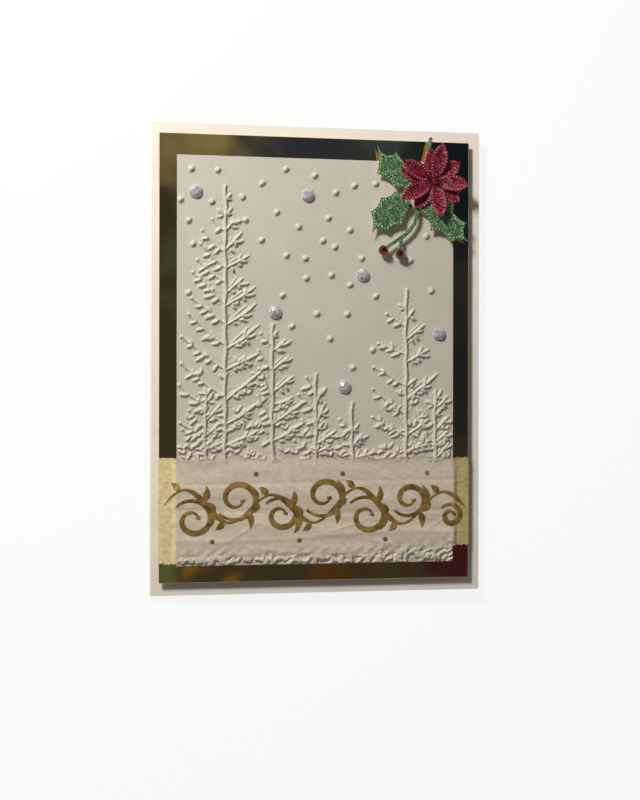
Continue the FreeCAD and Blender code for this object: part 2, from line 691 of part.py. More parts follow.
def make_berry_stem():
    width, disc = size("StemWidth"), size("BerryDiscDiameter")
    faces = [strip(STEM_LINE, width), strip(LEFT_TWIG, 0.85 * width), strip(RIGHT_TWIG, 0.85 * width)]
    for x, y in (LEFT_TWIG[-1], RIGHT_TWIG[-1]):
        faces.append(Part.Face(Part.Wire(Part.makeCircle(disc / 2, Vector(x, y, 0) * spray))))
    thickness = Vector(0, 0, size("LeafThickness"))
    solids = [face.extrude(thickness) for face in faces]
    stem = feature("berry_stem", solids[0].multiFuse(solids[1:]).removeSplitter())
    seat(stem, FLOWER_X, FLOWER_Y, LEAF_LEVEL)

    foam = box("stem_pad", "Sizes.StemPadWidth", "Sizes.StemPadLength", "Sizes.PadThickness")
    seat(foam, f"({FLOWER_X} + {STEM_PAD_AT[0]} * {SPRAY} - Sizes.StemPadWidth / 2)",
         f"{FLOWER_Y} + {STEM_PAD_AT[1]} * {SPRAY} - Sizes.StemPadLength / 2", PANEL_TOP)
    return stem, foam


# Flower: two layers of five petals, each layer cut from one sheet and cupped

# Direction of each petal, and its share of the longest one's length
LOWER_PETALS = [(96.9, 0.82), (38.1, 0.8), (-37.8, 0.78), (234.2, 0.82), (163.8, 0.87)]
UPPER_PETALS = [(79.0, 0.94), (-6.2, 0.84), (-81.1, 0.92), (208.4, 1.0), (152.7, 0.97)]
ROOT_OVERLAP = 0.4
ROOT_HALF_WIDTH = 0.5
PETAL_BELLY = 0.58


def petal(direction, length, root, cup, tilt):
    """A pointed petal cut from the wall of a cylinder and tipped up from its root."""
    thick, half = size("PetalThickness"), size("PetalWidth") / 2
    axis = Vector(1, 0, 0)
    wall = Part.makeCylinder(cup + thick, length + 1, Vector(0, 0, cup + thick), axis)
    wall = wall.cut(Part.makeCylinder(cup, length + 1, Vector(0, 0, cup + thick), axis))
    root_left, root_right = Vector(root, ROOT_HALF_WIDTH, 0), Vector(root, -ROOT_HALF_WIDTH, 0)
    tip = Vector(length, 0, 0)
    belly = length * PETAL_BELLY
    outline = Part.Wire([
        Part.Arc(root_right, Vector(belly, -half, 0), tip).toShape(),
        Part.Arc(tip, Vector(belly, half, 0), root_left).toShape(),
        Part.LineSegment(root_left, root_right).toShape(),
    ])
    shape = wall.common(Part.Face(outline).extrude(Vector(0, 0, cup)))
    shape.rotate(Vector(root, 0, 0), Vector(0, -1, 0), tilt)
    shape.rotate(Vector(), Vector(0, 0, 1), direction)
    return shape


def petal_layer(name, petals, hub_radius, cup, tilt, level):
    hub = Part.makeCylinder(hub_radius, size("PetalThickness"))
    root = hub_radius - ROOT_OVERLAP
    longest = size("PetalLength")
    shapes = [petal(direction, share * longest, root, cup, tilt) for direction, share in petals]
    layer = feature(name, hub.multiFuse(shapes))
    seat(layer, FLOWER_X, FLOWER_Y, level)
    return layer


def make_flower():
    pad = doc.addObject("Part::Cylinder", "flower_pad")
    pad.Label = "flower_pad"
    pad.setExpression("Radius", "Sizes.CentreGemDiameter / 2 + Sizes.HubRim + Sizes.HubStep")
    pad.setExpression("Height", "Sizes.PadThickness + Sizes.LeafThickness")
    seat(pad, FLOWER_X, FLOWER_Y, PANEL_TOP)
    upper_hub = size("CentreGemDiameter") / 2 + size("HubRim")
    lower = petal_layer("flower_lower_petals", LOWER_PETALS, upper_hub + size("HubStep"),
                        size("LowerPetalCup"), size("LowerPetalTilt"), FLOWER_LEVEL)
    upper_level = f"({FLOWER_LEVEL} + Sizes.PetalThickness)"
    upper = petal_layer("flower_upper_petals", UPPER_PETALS, upper_hub, size("UpperPetalCup"),
                        size("UpperPetalTilt"), upper_level)
    centre = feature("flower_centre", faceted_stone(size("CentreGemDiameter"), size("CentreGemHeight")))
    seat(centre, FLOWER_X, FLOWER_Y, f"({upper_level} + Sizes.PetalThickness + Sizes.GlueFilm)")
    return [pad, lower, upper, centre]


# Stones: flat backs, a sixteen-sided girdle, two rows of facets and an eight-sided table

def faceted_stone(diameter, height):
    def ring(count, share, level, turn):
        return [Vector(math.cos(2 * math.pi * (k + turn) / count) * share * diameter / 2,
                       math.sin(2 * math.pi * (k + turn) / count) * share * diameter / 2, level)
                for k in range(count)]

    base = ring(16, 1.0, 0.0, 0)
    girdle = ring(16, 1.0, 0.25 * height, 0)
    crown = ring(8, 0.78, 0.68 * height, 0)
    table = ring(8, 0.46, height, 0.5)
    faces = [base[::-1], table]
    for k in range(16):
        after = (k + 1) % 16
        faces.append([base[k], base[after], girdle[after], girdle[k]])
    for k in range(8):
        after, before = (k + 1) % 8, (k - 1) % 8
        left, middle, right = girdle[2 * k], girdle[2 * k + 1], girdle[(2 * k + 2) % 16]
        faces.append([left, middle, crown[k]])
        faces.append([middle, right, crown[after]])
        faces.append([middle, crown[after], crown[k]])
        faces.append([crown[k], crown[after], table[k]])
        faces.append([table[before], crown[k], table[k]])
    return solid_from(faces)


def make_stones():
    stones = []
    for number, (across, up) in enumerate(SNOW_GEMS, start=1):
        stone = feature(f"snow_gem_{number}", faceted_stone(size("SnowGemDiameter"), size("SnowGemHeight")))
        seat(stone, f"({PANEL_X} + {across / DRAWN_WIDTH - 0.5} * {PANEL_W})",
             f"{PANEL_Y} + {up / DRAWN_HEIGHT - 0.5} * {PANEL_H}", f"({PANEL_TOP} + Sizes.GlueFilm)")
        stones.append(stone)
    for name, (x, y) in (("berry_left", LEFT_TWIG[-1]), ("berry_right", RIGHT_TWIG[-1])):
        stone = feature(name, faceted_stone(size("BerryDiameter"), size("BerryHeight")))
        seat(stone, f"({FLOWER_X} + {x} * {SPRAY})", f"{FLOWER_Y} + {y} * {SPRAY}",
             f"({FLOWER_LEVEL} + Sizes.GlueFilm)")
        stones.append(stone)
    return stones


card_base = make_card_base()
foam_strips = make_foam_strips()
mirror_mat = make_mirror_mat()
leaves, leaf_pads = make_holly()
panel = make_embossed_panel()
band = make_paper_band()
stem, stem_pad = make_berry_stem()
flower = make_flower()
stones = make_stones()
doc.recompute()

pieces = [card_base, *foam_strips, mirror_mat, panel, band, *leaves, *leaf_pads, stem, stem_pad,
          *flower, *stones]

for item in doc.Objects:
    if "Invalid" in item.State or "Error" in item.State:
        raise RuntimeError(f"{item.Label} failed: {item.State}")
for piece in pieces:
    if piece.Shape.isNull() or not piece.Shape.isValid():
        raise RuntimeError(f"{piece.Label} has no valid shape")

os.makedirs("parts", exist_ok=True)
for piece in pieces:
    piece.Shape.exportStep(f"parts/{piece.Label}.step")
    print(piece.Label, "solids", len(piece.Shape.Solids), "volume", round(piece.Shape.Volume, 2))
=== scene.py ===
# %% [markdown]
# # A handmade winter greeting card
# The card is a stack of thin sheets: a folded cream card, a gold mirror mat on foam strips, a white
# sheet embossed with firs and snow, a band of torn paper, and a raised flower with holly leaves.
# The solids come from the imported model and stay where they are. This lesson gives every sheet its
# finish, and remodels the ones whose surface is too fine for the solids.

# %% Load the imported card
import json
import math
import random

import bpy
import numpy as np
from mathutils import Matrix, Vector

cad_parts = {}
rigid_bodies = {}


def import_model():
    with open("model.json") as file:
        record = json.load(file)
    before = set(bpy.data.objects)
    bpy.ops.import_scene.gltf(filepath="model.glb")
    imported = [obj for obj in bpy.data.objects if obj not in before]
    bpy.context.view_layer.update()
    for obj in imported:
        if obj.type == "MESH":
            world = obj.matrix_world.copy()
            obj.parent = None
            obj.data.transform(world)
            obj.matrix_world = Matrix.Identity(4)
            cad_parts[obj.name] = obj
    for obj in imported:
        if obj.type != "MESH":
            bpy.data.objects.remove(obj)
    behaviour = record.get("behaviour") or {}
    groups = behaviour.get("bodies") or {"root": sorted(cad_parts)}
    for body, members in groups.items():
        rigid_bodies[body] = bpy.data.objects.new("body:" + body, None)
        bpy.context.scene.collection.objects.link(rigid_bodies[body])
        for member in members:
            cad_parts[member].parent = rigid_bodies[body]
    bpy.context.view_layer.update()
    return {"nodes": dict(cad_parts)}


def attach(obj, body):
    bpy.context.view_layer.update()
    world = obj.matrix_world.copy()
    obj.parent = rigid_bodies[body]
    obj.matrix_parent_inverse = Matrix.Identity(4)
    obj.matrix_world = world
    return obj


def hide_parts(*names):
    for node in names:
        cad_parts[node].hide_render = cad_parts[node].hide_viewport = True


for item in list(bpy.data.objects):
    bpy.data.objects.remove(item)
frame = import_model()
nodes = frame["nodes"]
chance = random.Random(20)
print("solids loaded:", len(nodes))

# %% [markdown]
# The front leaf leans open by a small gape about the fold. All the decoration is drawn in the leaf's
# own frame, in millimetres: x across from the card's middle, y up, and z out of the front face.
# One matrix then carries a finished mesh onto the leaf, so no piece needs its own trigonometry.

# %% The leaf's frame and its levels
MM = 0.001
CARD_WIDTH = 127.0
FOLD = 0.75
GAPE = math.radians(1.2)
LEAF = (Matrix.Translation(Vector((FOLD - CARD_WIDTH / 2, 0, FOLD)) * MM)
        @ Matrix.Rotation(-GAPE, 4, "Y")
        @ Matrix.Translation(Vector((CARD_WIDTH / 2 - FOLD, 0, FOLD)) * MM)
        @ Matrix.Scale(MM, 4))
OUT_OF_LEAF = (LEAF.to_3x3() @ Vector((0, 0, 1))).normalized()
MAT_TOP = 2.3
MAT_THICK = 0.3
PANEL_TOP = 2.6
RELIEF = 0.6
LEAF_TOP = 4.9
MAT_LEFT, MAT_RIGHT = -60.2, 58.8
MAT_BOTTOM, MAT_UPPER = -84.0, 84.6
PANEL_LEFT, PANEL_RIGHT = -53.5, 52.5
PANEL_BOTTOM, PANEL_UPPER = -77.6, 76.4


def leaf_box(node):
    """A node's corners in the leaf's frame, to check the levels against the solids."""
    back = LEAF.inverted()
    points = np.array([back @ vertex.co for vertex in nodes[node].data.vertices])
    return points.min(0).round(2).tolist(), points.max(0).round(2).tolist()


for name in ("mirror_mat", "embossed_panel", "paper_band", "holly_leaf_upper"):
    print(name, *leaf_box(name))

# %% [markdown]
# A mesh is made from plain lists of points and faces. The helper below turns them into an object,
# carries it onto the leaf, hangs it on the body it rides on, hides the solids it replaces and gives it its finish.
# A thin bent sheet, such as the band or a petal, is one grid of points and a second behind it.

# %% Add a finished piece to the card
def new_object(name, data):
    item = bpy.data.objects.new(name, data)
    bpy.context.scene.collection.objects.link(item)
    return item


def add_piece(name, points, faces, material, replaces=(), smooth=35.0, edge=None, edge_faces=()):
    mesh = bpy.data.meshes.new(name)
    mesh.from_pydata([tuple(point) for point in points], [], faces)
    mesh.transform(LEAF)
    mesh.materials.append(material)
    if edge:
        mesh.materials.append(edge)
        for index in edge_faces:
            mesh.polygons[index].material_index = 1
    mesh.validate()
    if smooth:
        mesh.shade_smooth()
        mesh.set_sharp_from_angle(angle=math.radians(smooth))
    piece = new_object(name, mesh)
    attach(piece, "root")
    if replaces:
        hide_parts(*replaces)
    print(name, "faces:", len(mesh.polygons))
    return piece


def closed_sheet(first, rows, width):
    """Faces of a grid of points and of the same grid behind it, joined round the rim."""
    behind = rows * width
    faces = []
    for row in range(rows - 1):
        for k in range(width - 1):
            near = first + row * width + k
            faces.append((near, near + width, near + width + 1, near + 1))
            near += behind
            faces.append((near, near + 1, near + width + 1, near + width))
        for k, swap in ((0, False), (width - 1, True)):
            near = first + row * width + k
            edge = (near, near + behind, near + behind + width, near + width)
            faces.append(edge[::-1] if swap else edge)
    for row, swap in ((0, True), (rows - 1, False)):
        for k in range(width - 1):
            near = first + row * width + k
            edge = (near, near + behind, near + behind + 1, near + 1)
            faces.append(edge if swap else edge[::-1])
    return faces


# %% [markdown]
# ## Finishes
# Paper, glitter and foam all need small detail that repeats without a pattern, and noise textures
# give that. The ones that several finishes share are node groups with named inputs, so each
# finish sets its own values. A short helper adds a node and joins or sets its inputs in one line.

# %% A helper that adds one shader node
def add_node(tree, kind, inputs=None, **settings):
    item = tree.nodes.new(kind)
    for name, value in settings.items():
        setattr(item, name, value)
    for key, value in (inputs or {}).items():
        if isinstance(value, bpy.types.NodeSocket):
            tree.links.new(value, item.inputs[key])
        else:
            item.inputs[key].default_value = value
    return item


def maths(tree, operation, *values, **settings):
    """The result of one maths node."""
    inputs = dict(enumerate(values))
    return add_node(tree, "ShaderNodeMath", inputs, operation=operation, **settings).outputs[0]


def vector_maths(tree, operation, *values, scale=1.0):
    """The result of one vector maths node, a number for the operations that measure."""
    inputs = {**dict(enumerate(values)), 3: scale}
    item = add_node(tree, "ShaderNodeVectorMath", inputs, operation=operation)
    return item.outputs["Value" if operation in ("DISTANCE", "DOT_PRODUCT", "LENGTH") else "Vector"]


def mapped(tree, value, low, high, to_low=0.0, to_high=1.0, **settings):
    """A value carried from one range to another and held at its ends."""
    inputs = {0: value, 1: low, 2: high, 3: to_low, 4: to_high}
    return add_node(tree, "ShaderNodeMapRange", inputs, **settings).outputs[0]


def new_group(name, inputs, outputs):
    """An empty node group with float or vector inputs and outputs, and its two end nodes."""
    group = bpy.data.node_groups.new(name, "ShaderNodeTree")
    for label, kind, value in inputs:
        socket = group.interface.new_socket(label, in_out="INPUT", socket_type=kind)
        socket.default_value = value
    for label, kind in outputs:
        group.interface.new_socket(label, in_out="OUTPUT", socket_type=kind)
    return group, group.nodes.new("NodeGroupInput"), group.nodes.new("NodeGroupOutput")


FLOAT, VECTOR = "NodeSocketFloat", "NodeSocketVector"
MIX, VORONOI = "ShaderNodeMix", "ShaderNodeTexVoronoi"


def millimetres(tree):
    """Object coordinates in millimetres, the same for solids and for pieces made here."""
    place = add_node(tree, "ShaderNodeTexCoord")
    return vector_maths(tree, "SCALE", place.outputs["Object"], scale=1000.0)


def bumped(tree, height, strength, distance):
    """The normal of a surface with small relief; the distance is in metres."""
    inputs = {"Height": height, "Strength": strength, "Distance": distance}
    return add_node(tree, "ShaderNodeBump", inputs).outputs[0]


def noise(tree, place, scale, **settings):
    """The level of a noise texture; settings are its other inputs."""
    return add_node(tree, "ShaderNodeTexNoise", {"Vector": place, "Scale": scale, **settings}).outputs["Fac"]


def ramped(tree, value, stops):
    """A colour read off a ramp, whose stops are (position, colour)."""
    item = add_node(tree, "ShaderNodeValToRGB", {0: value})
    elements = item.color_ramp.elements
    for k in (0, -1):
        elements[k].position, elements[k].color = stops[k]
    for position, colour in stops[1:-1]:
        elements.new(position).color = colour
    return item.outputs["Color"]


def facing(tree, way):
    """How far the bare surface looks along a direction: 1 along it, 0 square to it."""
    surface = add_node(tree, "ShaderNodeNewGeometry")
    return vector_maths(tree, "DOT_PRODUCT", surface.outputs["True Normal"], tuple(way))


# %% [markdown]
# Paper is felted fibre: up close it has a fine tooth, and over some centimetres it is faintly cloudy.
# Two noises give the tooth as a height and the cloud as a mask.

# %% Paper grain group
def make_paper_grain():
    inputs = [("Tooth per mm", FLOAT, 4.0), ("Cloud per mm", FLOAT, 0.06)]
    group, given, result = new_group("Paper grain", inputs, [("Height", FLOAT), ("Cloud", FLOAT)])
    place = millimetres(group)
    tooth = noise(group, place, given.outputs["Tooth per mm"], Detail=4.0, Roughness=0.6)
    cloud = noise(group, place, given.outputs["Cloud per mm"], Detail=5.0, Roughness=0.62)
    group.links.new(tooth, result.inputs["Height"])
    group.links.new(cloud, result.inputs["Cloud"])
    return group


# %% [markdown]
# Glitter card is covered with small flat flakes that lie at slightly different angles. A Voronoi
# texture cuts the surface into cells, and each cell's random colour tilts the normal its own way,
# so one flake flashes while its neighbour stays dark.

# %% Glitter group
def make_glitter():
    inputs = [("Flakes per mm", FLOAT, 3.0), ("Tilt", FLOAT, 0.9)]
    outputs = [("Flake", FLOAT), ("Bright", FLOAT), ("Normal", VECTOR)]
    group, given, result = new_group("Glitter flakes", inputs, outputs)
    place = millimetres(group)
    cells = add_node(group, VORONOI, {"Vector": place, "Scale": given.outputs["Flakes per mm"]})
    centred = vector_maths(group, "SUBTRACT", cells.outputs["Color"], (0.5, 0.5, 0.5))
    leaning = vector_maths(group, "SCALE", centred, scale=given.outputs["Tilt"])
    surface = add_node(group, "ShaderNodeNewGeometry")
    summed = vector_maths(group, "ADD", surface.outputs["Normal"], leaning)
    unit = vector_maths(group, "NORMALIZE", summed)
    parts = add_node(group, "ShaderNodeSeparateColor", {0: cells.outputs["Color"]})
    # Which cells the glitter cards paint with a glint.
    bright = mapped(group, parts.outputs[1], 0.72, 0.95)
    group.links.new(parts.outputs[0], result.inputs["Flake"])
    group.links.new(bright, result.inputs["Bright"])
    group.links.new(unit, result.inputs["Normal"])
    return group


# %% [markdown]
# A cut sheet shows its pale core on its edges and its underside. This group tells those faces from
# the printed front by how far the surface looks out of the leaf.

# %% Front face group
def make_front_mask():
    group, _, result = new_group("Front of the sheet", [], [("Front", FLOAT)])
    front = mapped(group, facing(group, OUT_OF_LEAF), 0.62, 0.78)
    group.links.new(front, result.inputs["Front"])
    return group


PAPER_GRAIN, GLITTER, FRONT = make_paper_grain(), make_glitter(), make_front_mask()
print("shared effects:", [group.name for group in bpy.data.node_groups])


# %% Start a material, and place a shared effect in it
def new_material(name, **settings):
    """A material with one Principled shader; settings are that shader's constant inputs."""
    material = bpy.data.materials.new(name)
    material.use_nodes = True
    tree = material.node_tree
    tree.nodes.clear()
    constants = {key.replace("_", " "): value for key, value in settings.items()}
    shader = add_node(tree, "ShaderNodeBsdfPrincipled", constants)
    add_node(tree, "ShaderNodeOutputMaterial", {"Surface": shader.outputs[0]})
    return material, tree, shader


def join(tree, shader, **sockets):
    """Link sockets to the shader's inputs; an underscore in a name stands for a space."""
    for key, value in sockets.items():
        tree.links.new(value, shader.inputs[key.replace("_", " ")])


def use_group(tree, group, **values):
    item = add_node(tree, "ShaderNodeGroup", node_tree=group)
    for key, value in values.items():
        item.inputs[key.replace("_", " ")].default_value = value
    return item.outputs


def srgb(red, green, blue):
    """A colour read as 0 to 255 screen values, turned into the linear values that nodes use."""
    def linear(level):
        share = level / 255
        return share / 12.92 if share <= 0.04045 else ((share + 0.055) / 1.055) ** 2.4
    return (linear(red), linear(green), linear(blue), 1.0)


def blend_colours(tree, share, one, other):
    """A colour that goes from one to the other by a share; each may be a colour or a socket."""
    mixed = add_node(tree, MIX, {0: share, 6: one, 7: other}, data_type="RGBA")
    return mixed.outputs[2]


# %% [markdown]
# ## The plain sheets
# The folded card, the embossed sheet and the foam are matt and nearly white. What makes them look
# like paper and not plastic is a broad diffuse shine, a tooth in the normal and a slow drift of tint.

# %% Cream card, embossed card and foam
def make_paper(name, light, dark, tooth, depth, cloud=0.06):
    material, tree, shader = new_material(name, Roughness=0.8, Specular_IOR_Level=0.28)
    grain = use_group(tree, PAPER_GRAIN, Tooth_per_mm=tooth, Cloud_per_mm=cloud)
    spread = mapped(tree, grain["Cloud"], 0.3, 0.7)
    tint = blend_colours(tree, spread, srgb(*dark), srgb(*light))
    bump = bumped(tree, grain["Height"], depth, 0.0001)
    join(tree, shader, Base_Color=tint, Normal=bump)
    return material


cream_card = make_paper("cream_card", (243, 236, 225), (234, 226, 214), 3.0, 0.35)
embossed_card = make_paper("embossed_card", (204, 197, 183), (197, 190, 176), 2.2, 0.3)


def make_foam():
    material, tree, shader = new_material("white_foam", Roughness=0.9, Subsurface_Weight=0.1,
                                          Subsurface_Scale=0.0005)
    cells = add_node(tree, VORONOI, {"Vector": millimetres(tree), "Scale": 3.5})
    tint = blend_colours(tree, cells.outputs["Distance"], srgb(236, 235, 230), srgb(214, 212, 205))
    bump = bumped(tree, cells.outputs["Distance"], 0.5, 0.0002)
    join(tree, shader, Base_Color=tint, Normal=bump)
    return material


white_foam = make_foam()


def finish_solid(node, material):
    """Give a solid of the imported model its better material."""
    mesh = nodes[node].data
    mesh.materials.clear()
    mesh.materials.append(material)


finish_solid("card_base", cream_card)
for name in nodes:
    if "foam" in name or "pad" in name:
        finish_solid(name, white_foam)
print("plain sheets finished")

# %% [markdown]
# ## Gold mirror mat
# Mirror card is a metal film on card. It takes all its colour from what it reflects, so it needs a
# nearly smooth metal and a room to mirror. The film is never flat: a slow waviness bends the
# reflections, and a faint rubbed haze varies their sharpness.

# %% Gold mirror film
def make_mirror():
    material, tree, shader = new_material("gold_mirror", Metallic=1.0)
    place = millimetres(tree)
    haze = noise(tree, place, 0.12, Detail=6.0, Roughness=0.7)
    rough = mapped(tree, haze, 0.3, 0.75, 0.03, 0.09)
    wave = noise(tree, place, 0.045, Detail=1.0)
    bump = bumped(tree, wave, 0.2, 0.0015)
    tint = blend_colours(tree, haze, srgb(226, 186, 104), srgb(214, 170, 84))
    join(tree, shader, Base_Color=tint, Roughness=rough, Normal=bump)
    return material


gold_mirror = make_mirror()


def bevelled_sheet(left, right, bottom, upper, low, high, bevel):
    """A rectangular sheet whose upper edges are slightly rolled over by the cutter."""
    rings = []
    for inset, level in ((0, low), (0, high - bevel), (0.35 * bevel, high - 0.3 * bevel), (bevel, high)):
        rings.append([(left + inset, bottom + inset, level), (right - inset, bottom + inset, level),
                      (right - inset, upper - inset, level), (left + inset, upper - inset, level)])
    points = [point for ring in rings for point in ring]
    faces = [(3, 2, 1, 0), (12, 13, 14, 15)]
    for ring in range(3):
        for k in range(4):
            after = (k + 1) % 4
            faces.append((4 * ring + k, 4 * ring + after, 4 * ring + 4 + after, 4 * ring + 4 + k))
    return points, faces


def make_cut_edge():
    """The rim that the cutter leaves: the film is rolled thin there and the card's core shows."""
    material, tree, shader = new_material("pale_gold_edge", Roughness=0.5)
    fleck = noise(tree, millimetres(tree), 0.8, Detail=3.0)
    tint = blend_colours(tree, fleck, srgb(190, 160, 96), srgb(246, 228, 172))
    join(tree, shader, Base_Color=tint)
    return material


CUTTER_ROLL = 0.2
points, faces = bevelled_sheet(MAT_LEFT, MAT_RIGHT, MAT_BOTTOM, MAT_UPPER, MAT_TOP - MAT_THICK, MAT_TOP,
                               CUTTER_ROLL)
add_piece("mirror_mat_film", points, faces, gold_mirror, ["mirror_mat"], smooth=0,
          edge=make_cut_edge(), edge_faces=range(2, len(faces)))

# %% [markdown]
# ## Embossed firs and snow
# A die presses soft, round-topped lines into the sheet. The solid has them as flat facets. Here the
# sheet is a height field: a fine grid whose height is the highest of all the strokes at that spot,
# blurred a little as the paper rounds the die's corners. Only the cells that hold relief are
# small. The flat sky between them is made of large faces, which keeps the mesh light.
# Each fir is a trunk and a list of branches, as (height of the fork, reach sideways, rise).

# %% The firs and the snow, in millimetres from the panel's lower left corner
FIRS = [
    (18.1, 142.6,
     [(137.4, 2.1, 2.1), (131.8, 2, 2.4), (126.3, 3.6, 3.5), (118.6, 5.9, 6.6), (111.8, 8.7, 4.8), (102.4, 6.6, 5.6),
      (97.5, 11, 7.4), (90.4, 11.4, 8.1), (81.4, 12.7, 8.9), (73.3, 12.7, 6.5), (62.2, 13.2, 10.8), (53, 13, 8.9),
      (44.9, 12.8, 5.8)],
     [(131.4, 3.1, 2.6), (126.1, 4.2, 3.4), (118.2, 8.1, 6.8), (112.2, 8.5, 7.9), (106.6, 10, 7.5),
      (98.5, 11.3, 11.1), (91.3, 11.8, 8.4), (83.1, 13.2, 10.6), (74, 15.5, 11.3), (63.5, 15.5, 11.7),
      (53.2, 16.6, 14.2), (44.5, 15.9, 8.7)]),
    (35.9, 90.4,
     [(86.1, 1.7, 2.1), (81, 4.7, 4), (74, 6.3, 4.6), (65.6, 8, 5.3), (60.3, 7.4, 2.7), (53.2, 12, 8.3),
      (46.7, 12.7, 7.6)],
     [(83, 3.6, 3.4), (73.6, 4.9, 6.4), (63.7, 4.8, 9.5), (54.7, 5.1, 8.3), (45.6, 4.7, 7.2)]),
    (87.4, 104.8,
     [(93.5, 3.1, 3.5), (85.4, 7.1, 5.5), (77.1, 8.9, 4.5), (67.7, 3.7, 2.7), (62.7, 12.2, 9.9), (48.9, 9.4, 6.2),
      (42.7, 9.8, 2.7)],
     [(97.7, 2.7, 1.5), (91, 6.7, 3.8), (80, 10.2, 3.6), (68.3, 11.7, 6.1), (57.3, 12.1, 8.6), (48.5, 12.1, 6.9),
      (40.4, 8.2, 2)]),
    (52.5, 71.8,
     [(61.1, 2.3, 5.3), (53.9, 3.4, 7.2), (51.2, 3.1, 2.7), (45.9, 7.3, 4.5), (42.5, 5.8, 2.3)],
     [(64.5, 3.3, 5.5), (58.5, 5.8, 4.9), (48.6, 4.6, 5.3), (42.1, 7.3, 4.2)]),
    (66.4, 61.1, [(50.1, 2.5, 2.7), (44.7, 4.3, 4.6), (40.1, 8.9, 2.2)], [(49.7, 3.9, 4.6), (40.9, 5.8, 6.1)]),
    (10.7, 65.9, [(61.1, 2.8, 3.8), (54.7, 5.4, 6), (48.7, 5.2, 4.9), (43.8, 6.2, 2.6)],
     [(57.7, 2.4, 3.7), (51.7, 5.4, 6), (45.7, 8, 4.9)]),
    (98.9, 65.8,
     [(62.7, 2.4, 3.1), (59.3, 4.7, 4.3), (56.2, 2.4, 2.7), (50.8, 5.5, 5), (46.5, 5.1, 3.9), (40.3, 5.8, 5.6)],
     [(60.4, 3.6, 1.2), (53.1, 4.4, 4.2), (46.1, 5.5, 3.9)]),
]
SNOW = [(5.4, 148.8), (15.3, 148.6), (40.9, 149.6), (51.9, 147.5), (31.8, 144.1), (1.4, 137.3), (12.8, 136.6),
        (24.5, 138.8), (37.7, 133.2), (4.7, 129.4), (25.6, 130.1), (46, 127.8), (6.1, 120.5), (31.5, 122.3),
        (41, 117), (48.4, 116), (48.8, 108.3), (4.3, 102.4), (39.9, 101.7), (60.3, 141.3), (67.2, 144.1),
        (75.4, 145.1), (57.3, 131.4), (65.5, 127.1), (55.2, 122.6), (59.8, 120.5), (69.8, 116.4), (58.7, 109.6),
        (65.7, 106.2), (75.6, 102), (95.2, 125.3), (89.1, 115.7), (97.3, 104.5), (52.8, 95.2), (64.4, 95),
        (43.3, 90), (58.1, 85.4), (74.2, 81.6), (66.7, 74.6)]
PITTED_SNOW = (7, 17, 30, 32)
print("branches:", sum(len(fir[2]) + len(fir[3]) for fir in FIRS), "snow:", len(SNOW))

# %% [markdown]
# A stroke is a line of points, each with its own radius, so it can bend and swell. A leaflet starts
# thin and is fattest past its middle, like a grain of rice. On the left, thin branches carry rows
# of leaflets that hang outwards. On the right the branches are thick limbs that end in fingers.

# %% Turn each fir into strokes
def reach_from(start, angle, length):
    return start[0] + length * math.cos(angle), start[1] + length * math.sin(angle)


def leaflet(start, angle, length, radius, curl=0.0):
    """A gently curved spindle: pointed at its root, fat past its middle and pointed again."""
    line = [(*start, 0.25 * radius)]
    spot = start
    for part, share in ((0.28, 0.9), (0.26, 1.0), (0.26, 0.72), (0.2, 0.2)):
        spot = reach_from(spot, angle, length * part)
        line.append((*spot, radius * share))
        angle += curl
    return line


def along_branch(line, share):
    """A point at a share of a three-point branch."""
    first = share < 0.5
    start, end = (line[0], line[1]) if first else (line[1], line[2])
    place = 2 * share if first else 2 * share - 1
    return start[0] + (end[0] - start[0]) * place, start[1] + (end[1] - start[1]) * place


def left_branch(line, length):
    """A thin branch that ends in a bud, with rice-shaped leaflets that point outwards below it."""
    outward = math.atan2(line[2][1] - line[1][1], line[2][0] - line[1][0])
    bud = reach_from(line[2], outward, 0.9)
    strokes = [[(*line[0], 0.42), (*line[1], 0.38), (*line[2], 0.36), (*bud, 0.52)]]
    count = max(1, round(length / chance.uniform(3.2, 4.2)))
    for k in range(count):
        share = 0.1 + 0.8 * (k + chance.uniform(0.1, 0.6)) / count
        angle = math.radians(226 - 34 * share + chance.uniform(-15, 12))
        size = chance.uniform(2.3, 4.2) * (1.1 - 0.25 * share)
        root = reach_from(along_branch(line, share), math.radians(-60), 0.2)
        strokes.append(leaflet(root, angle, size, chance.uniform(0.62, 0.92), chance.uniform(-0.22, 0.1)))
    for share in ((0.42, 0.72) if length > 9 else (0.5,) if length > 6 else ()):
        if chance.random() < 0.7:
            root = along_branch(line, share + chance.uniform(-0.08, 0.08))
            angle = math.radians(chance.uniform(104, 124))
            strokes.append(leaflet(root, angle, chance.uniform(2.2, 3.4), 0.52, 0.12))
    return strokes


